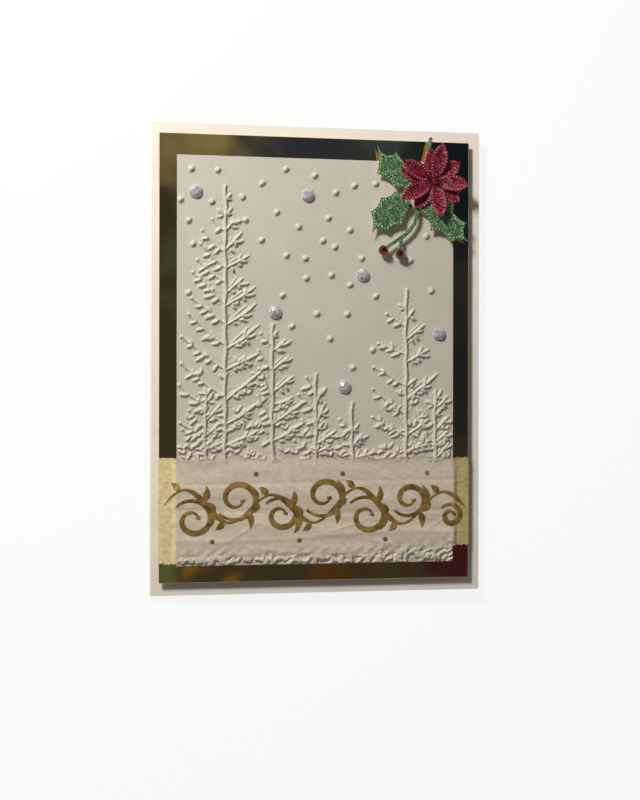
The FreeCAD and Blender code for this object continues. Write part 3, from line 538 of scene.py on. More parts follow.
def right_branch(line, length):
    """A limb that swells to a spindle, forks into a second finger and drops a few leaflets."""
    outward = math.atan2(line[2][1] - line[0][1], line[2][0] - line[0][0])
    swell = along_branch(line, 0.72)
    strokes = [[(*line[0], 0.42), (*line[1], 0.55), (*swell, 0.8), (*line[2], 0.3)]]
    if length > 4.8:
        fork = along_branch(line, chance.uniform(0.48, 0.62))
        low = outward - math.radians(chance.uniform(28, 48))
        strokes.append(leaflet(fork, low, chance.uniform(3.2, 4.9), 0.76, 0.1))
    if length > 9 and chance.random() < 0.75:
        knee = along_branch(line, chance.uniform(0.5, 0.66))
        strokes.append(leaflet(knee, math.radians(chance.uniform(66, 92)), chance.uniform(2.4, 3.8), 0.7, -0.1))
    count = max(1, round(length / 4.0))
    for k in range(count):
        share = 0.14 + 0.5 * (k + chance.uniform(0.2, 0.8)) / count
        angle = math.radians(-42 + chance.uniform(-24, 20))
        root = reach_from(along_branch(line, share), math.radians(-80), 0.45)
        size, radius = chance.uniform(2.0, 3.4), chance.uniform(0.5, 0.68)
        strokes.append(leaflet(root, angle, size, radius, chance.uniform(0, 0.3)))
        if chance.random() < 0.4:
            strokes.append(leaflet(root, angle + 0.9, chance.uniform(1.4, 2.2), 0.42))
    if length > 6 and chance.random() < 0.6:
        above = reach_from(along_branch(line, 0.2), math.radians(120), 1.0)
        end = reach_from(above, outward + 0.12, 0.55 * length)
        strokes.append([(*above, 0.24), (*end, 0.26)])
    return strokes


def foot_twigs(across, top):
    """Short twigs in pairs that crowd the lower part of a fir."""
    strokes = []
    for _ in range(round((top - 36) / 2.6)):
        up = chance.uniform(38.5, 43 + 0.34 * (top - 40))
        root = (across + chance.uniform(-1, 1) * (2.0 + 0.15 * (top - up)), up)
        angle = math.radians(chance.uniform(15, 75))
        for turn in (angle, angle + math.radians(chance.uniform(55, 115))):
            strokes.append(leaflet(root, turn, chance.uniform(1.9, 3.4), chance.uniform(0.42, 0.66), 0.12))
    return strokes


def fir_strokes():
    strokes = []
    for across, top, right_side, left_side in FIRS:
        strokes.append([(across, 0.6, 0.74), (across, 0.5 * top, 0.7), (across, top, 0.58)])
        for side, branches in ((1, right_side), (-1, left_side)):
            for fork, reach, rise in branches:
                root = (across + side * 0.4, fork)
                tip = (across + side * reach, fork + rise)
                length = math.hypot(reach, rise)
                bend = (across + side * 0.5 * reach, fork + 0.43 * rise + chance.uniform(-0.35, 0.35))
                if length < 4.4:
                    angle = math.atan2(tip[1] - root[1], tip[0] - root[0])
                    strokes.append(leaflet(root, angle, length, 0.72))
                    low = angle - side * math.radians(50)
                    strokes.append(leaflet(root, low, 0.65 * length, 0.55))
                elif side > 0:
                    strokes += right_branch([root, bend, tip], length)
                else:
                    strokes += left_branch([root, bend, tip], length)
        strokes += foot_twigs(across, top)
    return strokes


strokes = fir_strokes()
print("strokes:", len(strokes))

# %% [markdown]
# The strip that shows below the torn band has the feet of the firs and the undergrowth, which are
# short strokes leaning every way. Paper between close strokes is puckered by fine creases. The whole
# drawing is warped a little, because a real die isn't ruled. Behind the band the sheet stays flat.

# %% The height field
CELL = 0.27
COLUMNS = int(round((PANEL_RIGHT - PANEL_LEFT) / CELL))
ROWS = int(round((PANEL_UPPER - PANEL_BOTTOM) / CELL))
STEP_X = (PANEL_RIGHT - PANEL_LEFT) / COLUMNS
STEP_Y = (PANEL_UPPER - PANEL_BOTTOM) / ROWS
grid_x = np.arange(COLUMNS + 1) * STEP_X
grid_y = np.arange(ROWS + 1) * STEP_Y
all_x, all_y = np.meshgrid(grid_x, grid_y)
drawn_x = (all_x + 0.16 * np.sin(all_y / 1.7 + 0.8 * np.sin(all_x / 2.3))
           + 0.14 * np.sin(all_y / 4.1 + all_x / 5.0))
drawn_y = (all_y + 0.16 * np.sin(all_x / 1.9 + 0.9 * np.sin(all_y / 2.6))
           + 0.12 * np.sin(all_x / 4.7 - all_y / 6.0))


def smooth_step(value, low, high):
    share = np.clip((value - low) / (high - low), 0, 1)
    return share * share * (3 - 2 * share)


def torn(x, phase, depth):
    """How far a torn edge wanders at x: waves of unlike length."""
    waves = 0.5 * np.sin(x / 5.3 + phase) + 0.3 * np.sin(x / 2.3 + 2 * phase) + 0.2 * np.sin(x * 1.9)
    return depth * (waves + 0.25 * np.sin(x * 4.3 + phase) + 0.2 * np.sin(x * 7.7 + 3 * phase))


def band_lower(x):
    """The lower tear: it lies higher over the panel than on the tails, and rises to the right."""
    over_panel = 1.25 * smooth_step(x, -54, -51) * (1 - smooth_step(x, 26, 50))
    peaks = 1.5 * np.exp(-((x + 19) / 3.2) ** 2) + 1.1 * np.exp(-((x - 16) / 2.2) ** 2)
    peaks = peaks + 0.9 * np.exp(-((x - 24.4) / 2.4) ** 2)
    return -76.2 + 5.0 * smooth_step(x, 17.75, 55.9) + over_panel + peaks + torn(x, 2.1, 0.85)


RAISED = 0.78
SHARPEN = 1.9
SNOW_RADIUS = 1.12
UNDERGROWTH = 150
BEHIND_BAND = 38.6
FLAT = 0.004


def press(field, start, end, height=1.0, steep=0.6):
    """Raise the field to one part of a stroke, where that is higher than what is there."""
    reach = max(start[2], end[2]) + 0.35
    first_x, last_x = np.searchsorted(grid_x, (min(start[0], end[0]) - reach, max(start[0], end[0]) + reach))
    first_y, last_y = np.searchsorted(grid_y, (min(start[1], end[1]) - reach, max(start[1], end[1]) + reach))
    if last_x <= first_x or last_y <= first_y:
        return
    x, y = drawn_x[first_y:last_y, first_x:last_x], drawn_y[first_y:last_y, first_x:last_x]
    run_x, run_y = end[0] - start[0], end[1] - start[1]
    squared = max(run_x ** 2 + run_y ** 2, 1e-9)
    share = np.clip(((x - start[0]) * run_x + (y - start[1]) * run_y) / squared, 0, 1)
    radius = start[2] + (end[2] - start[2]) * share
    away = np.hypot(x - start[0] - share * run_x, y - start[1] - share * run_y)
    inside = np.clip(1 - (away / radius) ** 2, 0, 1)
    crest = height * RAISED * np.clip(radius / 0.55, 0.55, 1)
    window = field[first_y:last_y, first_x:last_x]
    np.maximum(window, crest * inside ** steep, out=window)


def press_line(field, line, height=1.0):
    for start, end in zip(line, line[1:]):
        press(field, start, end, height)


def blurred(field, passes):
    for _ in range(passes):
        field[1:-1] = 0.25 * field[:-2] + 0.5 * field[1:-1] + 0.25 * field[2:]
        field[:, 1:-1] = 0.25 * field[:, :-2] + 0.5 * field[:, 1:-1] + 0.25 * field[:, 2:]
    return field


relief = np.zeros((ROWS + 1, COLUMNS + 1))
for line in strokes:
    press_line(relief, line)
for across, up in SNOW:
    press(relief, (across, up, SNOW_RADIUS), (across, up + 0.01, SNOW_RADIUS), 1.0, 0.5)
for _ in range(UNDERGROWTH):
    across = chance.uniform(-1.0, 104.0)
    start = (across, chance.uniform(0.0, 2.4 + 2.8 * min(1, max(0, (across - 70) / 25))))
    lean = math.radians(chance.choice((chance.uniform(8, 62), chance.uniform(8, 62), chance.uniform(105, 168))))
    press_line(relief, leaflet(start, lean, chance.uniform(1.6, 4.4), chance.uniform(0.6, 1.1), 0.15), 1.05)
for start, end in (((70, 39.6), (86.5, 40.1)), ((64, 40.1), (71, 39.5))):
    press(relief, (*start, 0.5), (*end, 0.5), 0.6)
relief = blurred(relief, 1)
near_relief = blurred(relief.copy(), 40)
pucker = np.sin(all_x * 1.9 + 1.7 * np.sin(all_y * 1.1) + 1.2 * np.sin(all_x * 0.7))
pucker += np.sin(all_y * 1.6 + 1.9 * np.sin(all_x * 0.9 + 1.0) - all_x * 0.8)
crease = 0.11 * np.exp(-(pucker / 0.42) ** 2) * np.clip((near_relief - 0.04) * 9, 0, 1)
relief = np.maximum(relief, crease)
under_band = relief.copy()
torn_line = band_lower(all_x + PANEL_LEFT) - PANEL_BOTTOM
relief[(all_y > torn_line + 0.4) & (all_y < BEHIND_BAND)] = 0
soft_relief = blurred(under_band.copy(), 3)
for index in PITTED_SNOW:
    across, up = SNOW[index]
    relief -= 0.3 * np.exp(-((all_x - across + 0.1) ** 2 + (all_y - up) ** 2) / 0.08)
relief[relief < FLAT] = 0
relief[[0, -1]] = relief[:, [0, -1]] = -0.06
relief_slope_y, relief_slope_x = (SHARPEN * slope for slope in np.gradient(relief, STEP_Y, STEP_X))
relief_slope_y[[0, 1, -2, -1]] *= 0.2
relief_slope_x[:, [0, 1, -2, -1]] *= 0.2
print("highest relief:", round(float(relief.max()), 3), "mm on", relief.shape, "points")

# %% Faces: small ones on the relief, one large one for each flat block
BLOCK = 8


def relief_faces(busy):
    """Quads for busy blocks and, for a flat block, one face that keeps its busy neighbours' points."""
    rows, columns = busy.shape
    faces = []
    width = COLUMNS + 1
    for row in range(rows):
        for column in range(columns):
            x0, y0 = column * BLOCK, row * BLOCK
            x1, y1 = min(x0 + BLOCK, COLUMNS), min(y0 + BLOCK, ROWS)
            if busy[row, column]:
                for y in range(y0, y1):
                    for x in range(x0, x1):
                        low, high = y * width + x, (y + 1) * width + x
                        faces.append((low, low + 1, high + 1, high))
                continue
            south = row > 0 and busy[row - 1, column]
            north = row + 1 < rows and busy[row + 1, column]
            west = column > 0 and busy[row, column - 1]
            east = column + 1 < columns and busy[row, column + 1]
            ring = [(x, y0) for x in (range(x0, x1) if south else (x0,))]
            ring += [(x1, y) for y in (range(y0, y1) if east else (y0,))]
            ring += [(x, y1) for x in (range(x1, x0, -1) if north else (x1,))]
            ring += [(x0, y) for y in (range(y1, y0, -1) if west else (y1,))]
            faces.append(tuple(y * width + x for x, y in ring))
    return faces


block_rows, block_columns = math.ceil(ROWS / BLOCK), math.ceil(COLUMNS / BLOCK)
busy = np.zeros((block_rows, block_columns), bool)
for row in range(block_rows):
    for column in range(block_columns):
        part = relief[row * BLOCK:(row + 1) * BLOCK + 1, column * BLOCK:(column + 1) * BLOCK + 1]
        busy[row, column] = np.abs(part).max() > 0.003
faces = relief_faces(busy)
x, y = np.meshgrid(grid_x + PANEL_LEFT, grid_y + PANEL_BOTTOM)
points = np.stack([x.ravel(), y.ravel(), (PANEL_TOP + relief).ravel()], 1)
print("panel faces:", len(faces))

# %% [markdown]
# The sheet's rim and its back close the solid. The normals come straight from the height field's
# slope, which shades the round strokes more smoothly than the faces alone would.

# %% Close the sheet and set its normals
rim = list(range(COLUMNS))
rim += [y * (COLUMNS + 1) + COLUMNS for y in range(ROWS)]
rim += [ROWS * (COLUMNS + 1) + x for x in range(COLUMNS, 0, -1)]
rim += [y * (COLUMNS + 1) for y in range(ROWS, 0, -1)]
used = sorted({index for face in faces for index in face} | set(rim))
renumber = np.full(len(points), -1)
renumber[used] = np.arange(len(used))
faces = [tuple(int(renumber[index]) for index in face) for face in faces]
top_points = points[used]
below = top_points[renumber[rim]].copy()
below[:, 2] = MAT_TOP + 0.005
first_below = len(top_points)
for k, index in enumerate(rim):
    after = (k + 1) % len(rim)
    faces.append((first_below + k, first_below + after, int(renumber[rim[after]]), int(renumber[index])))
faces.append(tuple(range(first_below + len(rim) - 1, first_below - 1, -1)))
panel = add_piece("embossed_sheet", np.vstack([top_points, below]), faces, embossed_card,
                  ["embossed_panel"], smooth=0)
panel.data.shade_smooth()
slopes = np.stack([-relief_slope_x.ravel(), -relief_slope_y.ravel(), np.ones(relief.size)], 1)[used]
slopes /= np.linalg.norm(slopes, axis=1)[:, None]
turn = LEAF.to_3x3().normalized()
normals = [tuple(turn @ Vector(slope)) for slope in slopes]
loop_normals = []
for polygon in panel.data.polygons:
    flat = tuple(polygon.normal)
    for corner in polygon.vertices:
        loop_normals.append(normals[corner] if max(polygon.vertices) < first_below else flat)
panel.data.normals_split_custom_set(loop_normals)
print("panel done")

# %% [markdown]
# ## Torn paper band
# Handmade paper is soft and full of long fibres, and it tears in waves with a fringe of hairs. The
# band lies across the panel, steps down to the mat on both sides and goes round under its edges. A
# path follows that section, and a grid along the path and up the band carries the wrinkles.

# %% The band's section and its torn edges
BAND_THICK = 0.13
BAND_LIFT = 0.14
BAND_LEVEL = PANEL_TOP + RELIEF + BAND_LIFT
BESIDE_PANEL = 0.15
FOOT_OF_STEP = 1.7
TAIL = 7.8


def section_path():
    """The band's outer line from the end of one tail to the end of the other, with soft corners."""
    left, right, under = MAT_LEFT - BAND_LIFT, MAT_RIGHT + BAND_LIFT, MAT_TOP - MAT_THICK - BAND_LIFT
    margin = MAT_TOP + BAND_LIFT
    corners = [(left + TAIL, under), (left, under), (left, margin), (PANEL_LEFT - FOOT_OF_STEP, margin),
               (PANEL_LEFT - BESIDE_PANEL, BAND_LEVEL), (PANEL_RIGHT + BESIDE_PANEL, BAND_LEVEL),
               (PANEL_RIGHT + FOOT_OF_STEP, margin), (right, margin), (right, under), (right - TAIL, under)]
    path = [corners[0]]
    for before, corner, after in zip(corners, corners[1:], corners[2:]):
        into = Vector(before) - Vector(corner)
        out_of = Vector(after) - Vector(corner)
        radius = min(0.22, 0.45 * into.length, 0.45 * out_of.length)
        start = Vector(corner) + into.normalized() * radius
        end = Vector(corner) + out_of.normalized() * radius
        middle = (start + end) * 0.25 + Vector(corner) * 0.5
        path += [tuple(start), tuple(middle), tuple(end)]
    path.append(corners[-1])
    fine = [path[0]]
    for start, end in zip(path, path[1:]):
        pieces = max(1, int(round(math.dist(start, end) / 0.46)))
        for k in range(1, pieces + 1):
            share = k / pieces
            fine.append((start[0] + (end[0] - start[0]) * share, start[1] + (end[1] - start[1]) * share))
    return np.array(fine)


def band_upper(x):
    return -37.4 + torn(x, 0.6, 0.4)


CREASES = [(-30, -66, 0.62, 7, 0.13), (-8, -49, -0.5, 6, 0.1), (12, -63, 0.35, 9, 0.12), (34, -47, -0.3, 8, 0.11),
           (-46, -51, 0.45, 5, 0.1), (26, -70, -0.22, 8, 0.12), (47, -62, 0.7, 5, 0.1), (-18, -72, -0.15, 9, 0.11)]


def printed_through(x, y):
    """The height of the embossed firs under the band at a spot, softened by the paper."""
    column = np.clip((x - PANEL_LEFT) / STEP_X, 0, COLUMNS).astype(int)
    row = np.clip((y - PANEL_BOTTOM) / STEP_Y, 0, ROWS).astype(int)
    return soft_relief[row, column]


def band_wrinkle(x, y):
    """Long soft creases across the band, finer crumples near its torn edges, in millimetres."""
    lie = 0.1 * np.sin(y / 2.9 + 0.9 * np.sin(x / 17.0)) + 0.07 * np.sin(y / 1.7 + x / 23.0 + 1.3)
    lie += 0.05 * np.sin(y / 1.1 + 1.5 * np.sin(x / 9.0 + 0.6)) * np.sin(x / 13.0 + y / 8.0)
    crease = 0.12 * np.exp(-((y + 67.0 - 1.6 * np.sin(x / 21.0)) / 0.9) ** 2)
    crease -= 0.11 * np.exp(-((y + 57.4 + 0.9 * np.sin(x / 27.0 + 1)) / 0.7) ** 2)
    crease -= 0.1 * np.exp(-((y + 46.5 - 0.7 * np.sin(x / 31.0)) / 0.8) ** 2)
    for across, up, slope, reach, depth in CREASES:
        away = (y - up) - slope * (x - across)
        crease += depth * np.exp(-(away / 0.55) ** 2) * np.exp(-((x - across) / reach) ** 2)
    from_low, from_high = y - band_lower(x), band_upper(x) - y
    edge = np.exp(-(from_low / 3.2) ** 2) + 0.35 * np.exp(-from_high / 0.8)
    crumple = (0.15 * np.sin(x * 1.35 + 1.1 * np.sin(y * 1.7))
               + 0.11 * np.sin(x * 0.83 - y * 1.2 + 2 * np.sin(x * 0.31)))
    crumple += 0.06 * np.sin(x * 2.7 + y * 2.1 + 1.4 * np.sin(x * 0.9))
    under = printed_through(x, y)
    lift = 1.3 * lie + 1.4 * crease + crumple * np.clip(edge, 0, 1) + 0.5 * under * np.exp(-from_high / 2.6)
    lift = np.clip(lift, -0.3, 0.42) - 0.14
    draped = np.clip(1.15 - np.maximum(from_low, 0) / 1.3, 0, 1) ** 1.5
    lying = 0.85 * under + 0.1 - (BAND_LEVEL - PANEL_TOP) + 0.06 * np.sin(x * 2.7 + y * 2.1)
    return lift * (1 - draped) + lying * draped


def band_height(x, y):
    """Level of the band's upper side, over the panel and over the mat's margins."""
    aside = np.maximum(PANEL_LEFT - BESIDE_PANEL - x, x - (PANEL_RIGHT + BESIDE_PANEL))
    drop = np.clip(aside / (FOOT_OF_STEP - BESIDE_PANEL), 0, 1)
    over = smooth_step(-drop, -1, 0)
    low, high = MAT_TOP + BAND_LIFT, BAND_LEVEL
    return low + (high - low) * (1 - drop) + band_wrinkle(x, y) * over


def height_at(x, y):
    return float(band_height(np.array(x), np.array(y)))


path = section_path()
print("section points:", len(path))
print("band runs", round(float(band_lower(0.0)), 1), "to", round(float(band_upper(0.0)), 1))

# %% Build the band
ACROSS_BAND = 104


def make_band(material):
    tangent = np.gradient(path, axis=0)
    tangent /= np.linalg.norm(tangent, axis=1)[:, None]
    sides = np.stack([-tangent[:, 1], tangent[:, 0]], 1)
    if sides[len(sides) // 2][1] < 0:
        sides = -sides
    shares = np.linspace(0, 1, ACROSS_BAND)
    outer, inner = [], []
    for (x, z), (side_x, side_z) in zip(path, sides):
        low, high = float(band_lower(x)), float(band_upper(x))
        flat = z > MAT_TOP
        drop = max(PANEL_LEFT - BESIDE_PANEL - x, x - PANEL_RIGHT - BESIDE_PANEL)
        over = float(smooth_step(-drop, -1.6, 0)) if flat else 0.0
        for share in shares:
            y = low + (high - low) * share
            lift = over * float(band_wrinkle(x, y))
            thin = BAND_THICK * (1 - 0.55 * math.exp(-min(y - low, high - y) / 0.5))
            outer.append((x, y, z + lift))
            inner.append((x - side_x * thin, y, z + lift - side_z * thin))
    faces = closed_sheet(0, len(path), ACROSS_BAND)
    add_piece("torn_band", outer + inner, faces, material, ["paper_band"], smooth=50)


# %% [markdown]
# The paper is thin. Over the white panel it looks grey-white. Over the gold mat its colour carries a painted
# reflection of the gold showing through, a pale yellow that is darker towards the right, so its colour depends on
# where it lies.
# Its fibres lie every way: the coordinates are first pushed about by one noise, and ridges of a second noise become
# the fibres.

# %% Handmade paper
def make_torn_paper():
    material, tree, shader = new_material("handmade_paper", Roughness=0.85, Specular_IOR_Level=0.2)
    place = millimetres(tree)
    parts = add_node(tree, "ShaderNodeSeparateXYZ", {0: place})
    middle = 0.5 * (PANEL_LEFT + PANEL_RIGHT)
    centred = maths(tree, "ADD", parts.outputs[0], -middle)
    aside = maths(tree, "ABSOLUTE", centred)
    over_mat = mapped(tree, aside, 53.0, 54.0)
    rightward = mapped(tree, parts.outputs[0], -60.0, 58.0)
    lying = vector_maths(tree, "MULTIPLY", place, (0.72, 1.25, 1.0))
    pulp = noise(tree, lying, 0.5, Detail=5.0, Roughness=0.52, Distortion=0.9)
    hairs = noise(tree, lying, 1.1, Detail=2.0, Distortion=2.2)
    centre_line = maths(tree, "SUBTRACT", hairs, 0.5)
    ridge = maths(tree, "ABSOLUTE", centre_line)
    fibre = mapped(tree, ridge, 0.035, 0.0)
    shade = mapped(tree, pulp, 0.34, 0.66)
    white = blend_colours(tree, shade, srgb(202, 189, 168), srgb(219, 207, 187))
    # Painted reflection: the gold mat seen through the paper, paler on the left tail than on the right.
    painted_gold_left = blend_colours(tree, shade, srgb(216, 194, 136), srgb(240, 222, 172))
    painted_gold_right = blend_colours(tree, shade, srgb(172, 155, 100), srgb(202, 186, 132))
    gold = blend_colours(tree, rightward, painted_gold_left, painted_gold_right)
    body = blend_colours(tree, over_mat, white, gold)
    faint = maths(tree, "MULTIPLY", fibre, 0.16)
    tint = blend_colours(tree, faint, body, srgb(236, 228, 212))
    raised = maths(tree, "MULTIPLY", fibre, 0.18)
    height = maths(tree, "ADD", pulp, raised)
    bump = bumped(tree, height, 0.42, 0.0003)
    join(tree, shader, Base_Color=tint, Normal=bump)
    return material


handmade_paper = make_torn_paper()
make_band(handmade_paper)

# %% [markdown]
# Hairs of loose fibre stand out of both torn edges. Each is a thin tapered strip of two faces.

# %% Loose fibres
FIBRES_PER_EDGE = 420


def make_fibres():
    points, faces = [], []
    for edge, out in ((band_lower, -1), (band_upper, 1)):
        for _ in range(FIBRES_PER_EDGE):
            x = chance.uniform(MAT_LEFT + 0.4, MAT_RIGHT - 0.4)
            y = float(edge(x)) - out * 0.25
            heading = math.pi / 2 * out + chance.uniform(-1.1, 1.1)
            reach = chance.uniform(0.35, 1.0)
            bend = heading + chance.uniform(-0.8, 0.8)
            middle = (x + 0.5 * reach * math.cos(heading), y + 0.5 * reach * math.sin(heading))
            end = (middle[0] + 0.5 * reach * math.cos(bend), middle[1] + 0.5 * reach * math.sin(bend))
            half = chance.uniform(0.03, 0.06)
            across = (-math.sin(heading) * half, math.cos(heading) * half)
            first = len(points)
            for spot, width, lift in (((x, y), 1, 0.0), (middle, 0.8, 0.03), (end, 0.25, 0.0)):
                low = height_at(*spot) + 0.02 + lift - 0.12 * (lift == 0.0)
                for side in (-width, width):
                    points.append((spot[0] + side * across[0], spot[1] + side * across[1], low + 0.1))
            faces += [(first, first + 1, first + 3, first + 2), (first + 2, first + 3, first + 5, first + 4)]
    add_piece("band_fibres", points, faces, handmade_paper, smooth=0)


make_fibres()

# %% [markdown]
# ## Gold ink scroll
# The band carries a brush-drawn ornament in gold ink: a vine that winds along it, with curls on
# both sides and small leaves. It is drawn as strokes whose width swells on the way down, as a
# broad pen does. Each stroke becomes a low ribbon that follows the paper's wrinkles.

# %% Draw the scroll as strokes of points and widths
VINE_MIDDLE = -56.0
VINE_START = -59
VINE_PERIOD = 33.0


def vine_line(x):
    return (VINE_MIDDLE + 6.0 * math.sin((x - VINE_START) * 2 * math.pi / VINE_PERIOD)
            + 1.2 * math.sin((x - VINE_START) / 9.0))


def vine_strokes():
    drawn = []
    main = []
    x = -58.8
    while x < 57.8:
        slope = (vine_line(x + 0.4) - vine_line(x - 0.4)) / 0.8
        main.append((x, vine_line(x), 0.5 + 0.6 * min(1.0, max(0.0, -slope))))
        x += 0.6
    for k in range(6):
        main[k] = (*main[k][:2], main[k][2] * (k + 1) / 7)
        main[-1 - k] = (*main[-1 - k][:2], main[-1 - k][2] * (k + 1) / 7)
    drawn.append(main)
    for k in range(7):
        turn_x = VINE_START + VINE_PERIOD * (0.25 + 0.5 * k)
        up = 1 if k % 2 == 0 else -1
        if turn_x > 56:
            break
        centre = (turn_x + 3.4, VINE_MIDDLE - up * (3.6 + 0.8 * math.cos(1.9 * k)))
        size = min(8.2 + 0.9 * math.sin(2.3 * k), 56.6 - centre[0])
        curl = []
        for step in range(60):
            share = step / 59
            angle = math.pi * (0.78 - 2.75 * share) * up
            radius = size * (1 - 0.78 * share)
            curl.append((centre[0] + radius * math.cos(angle), centre[1] + 0.95 * radius * math.sin(angle),
                         0.5 + 0.62 * math.sin(math.pi * min(1, share * 1.15)) + (0.5 if share > 0.94 else 0)))
        drawn.append(curl)
        for along, lean, reach in ((-6.5, 1.2, 7.4), (7.2, 0.8, 6.2), (11.0, 1.5, 4.8), (-2.0, 1.7, 4.2)):
            root_x = turn_x + along
            if not -56 < root_x < 53:
                continue
            root = (root_x, vine_line(root_x))
            leaf = []
            for step in range(14):
                share = step / 13
                angle = up * (lean + 0.6 * share)
                leaf.append((root[0] + reach * share * math.cos(angle), root[1] + reach * share * math.sin(angle),
                             0.14 + 1.15 * math.sin(math.pi * share ** 0.8)))
            drawn.append(leaf)
    return drawn


def dots_beside():
    """Single dots off the vine's turns, each as a place and a radius."""
    return [(VINE_START + VINE_PERIOD * (0.25 + 0.5 * k) - 6.0,
             VINE_MIDDLE + (1 if k % 2 == 0 else -1) * 12.6, 0.95) for k in range(1, 7)]


vine = vine_strokes()
print("scroll strokes:", len(vine))

# %% Gold ink and the ribbons that carry it
def make_gold_ink():
    material, tree, shader = new_material("gold_ink", Metallic=0.45)
    place = millimetres(tree)
    painted_glint_patches = noise(tree, place, 0.35, Detail=6.0, Roughness=0.65)
    fine = noise(tree, place, 5.0, Detail=3.0)
    # Painted glints: the pale gold patches stand in for light caught by the ink.
    tint = ramped(tree, painted_glint_patches, [(0.38, srgb(118, 92, 50)), (0.68, srgb(196, 158, 84))])
    rough = mapped(tree, fine, 0.3, 0.7, 0.3, 0.55)
    bump = bumped(tree, fine, 0.5, 0.0001)
    join(tree, shader, Base_Color=tint, Roughness=rough, Normal=bump)
    return material


def make_scroll(material):
    points, faces = [], []
    profile = ((-1.0, 0.012), (-0.7, 0.04), (0.0, 0.05), (0.7, 0.04), (1.0, 0.012))
    for line in vine:
        first = len(points)
        spots = np.array([spot[:2] for spot in line])
        run = np.gradient(spots, axis=0)
        run /= np.linalg.norm(run, axis=1)[:, None] + 1e-9
        for (x, y, half), (run_x, run_y) in zip(line, run):
            for side, lift in profile:
                px, py = x - run_y * side * half, y + run_x * side * half
                points.append((px, py, height_at(px, py) + lift))
        for k in range(len(line) - 1):
            for side in range(4):
                low = first + 5 * k + side
                faces.append((low, low + 5, low + 6, low + 1))
    for x, y, radius in dots_beside():
        first = len(points)
        points.append((x, y, height_at(x, y) + 0.06))
        for k in range(14):
            angle = 2 * math.pi * k / 14
            px, py = x + radius * math.cos(angle), y + radius * math.sin(angle)
            points.append((px, py, height_at(px, py) + 0.015))
        faces += [(first, first + 1 + k, first + 1 + (k + 1) % 14) for k in range(14)]
    add_piece("gold_scroll", points, faces, material, smooth=80)


make_scroll(make_gold_ink())

# %% [markdown]
# ## Glitter pieces
# The leaves, the stem and the petals are cut from glitter card and pressed with a row of small
# stitches near the edge. The glitter material covers the front only. The edges and the underside
# show a pale core. Loose flakes and the stitches are real geometry, so they catch the light from any side.

# %% Glitter materials
def make_glitter_card(name, deep, light, painted_glint, core, painted_shade_spot=None):
    """Glitter card; the optional last argument is a spot, in millimetres, towards which the card is painted in deep
    shade.
    """
    material, tree, shader = new_material(name, Specular_IOR_Level=0.3)
    coarse = use_group(tree, GLITTER, Flakes_per_mm=1.5, Tilt=0.75)
    fine = use_group(tree, GLITTER, Flakes_per_mm=3.4, Tilt=0.6)
    front = use_group(tree, FRONT)
    body = blend_colours(tree, coarse["Flake"], srgb(*deep), srgb(*light))
    # Painted shade and glints: a share of the flakes is darkened towards the deep colour, and the brightest cells
    # get a painted glint.
    grain = maths(tree, "MULTIPLY", fine["Flake"], 0.45)
    shaded = blend_colours(tree, grain, body, srgb(*deep))
    lit = blend_colours(tree, fine["Bright"], shaded, srgb(*painted_glint))
    # Painted shade: near the spot the colour goes towards near black.
    if painted_shade_spot:
        away = vector_maths(tree, "DISTANCE", millimetres(tree), tuple(painted_shade_spot))
        free_of_painted_shade = mapped(tree, away, 1.2, 4.2, 0.15, 1.0)
        lit = blend_colours(tree, free_of_painted_shade, srgb(34, 3, 10), lit)
    tint = blend_colours(tree, front["Front"], srgb(*core), lit)
    rough = mapped(tree, front["Front"], 0.0, 1.0, 0.8, 0.5)
    join(tree, shader, Base_Color=tint, Roughness=rough, Normal=coarse["Normal"])
    return material


green_glitter = make_glitter_card("green_glitter", (30, 62, 36), (84, 128, 76), (150, 184, 138),
                                  (214, 214, 186))
FLOWER = (44.4, 68.6)
flower_heart = (LEAF @ Vector((*FLOWER, LEAF_TOP + 0.6))) / MM
# The red card gets painted shade towards the flower's heart, where the petals crowd.
red_glitter = make_glitter_card("red_glitter", (62, 5, 20), (134, 18, 43), (178, 56, 80), (214, 134, 144),
                                flower_heart)


def make_sparkle(name, colour, glow):
    """Stitches and loose flakes: brighter than the card they lie on, and shinier."""
    material, tree, shader = new_material(name, Roughness=0.4)
    glitter = use_group(tree, GLITTER, Flakes_per_mm=1.7, Tilt=0.3)
    tint = blend_colours(tree, glitter["Flake"], srgb(*colour), srgb(*glow))
    join(tree, shader, Base_Color=tint)
    return material


green_sparkle = make_sparkle("green_sparkle", (140, 186, 130), (206, 228, 186))
red_sparkle = make_sparkle("red_sparkle", (190, 74, 96), (238, 152, 164))
for name in nodes:
    if name.startswith("holly_leaf") or name == "berry_stem":
        finish_solid(name, green_glitter)
print("glitter materials made")

# %% [markdown]
# The outline of a leaf is read back from its solid: the edges that only one upward face uses. The
# stitches then follow that outline at a fixed distance inside it.

# %% Outlines of the cut pieces, and points inside them
def outline_of(node):
    """The front face's rim of a flat cut piece, in the leaf's frame, as an ordered ring."""
    back = LEAF.inverted()
    mesh = nodes[node].data
    places = [back @ vertex.co for vertex in mesh.vertices]
    top = max(place.z for place in places)
    following = {}
    keys = [(round(place.x, 3), round(place.y, 3)) for place in places]
    used_edges = {}
    for polygon in mesh.polygons:
        if all(places[k].z > top - 0.02 for k in polygon.vertices):
            ring = [keys[k] for k in polygon.vertices]
            for one, other in zip(ring, ring[1:] + ring[:1]):
                used_edges[one, other] = True
    for one, other in used_edges:
        if (other, one) not in used_edges:
            following[one] = other
    start = next(iter(following))
    ring, spot = [start], following[start]
    while spot != start and spot in following:
        ring.append(spot)
        spot = following[spot]
    return np.array(ring), top


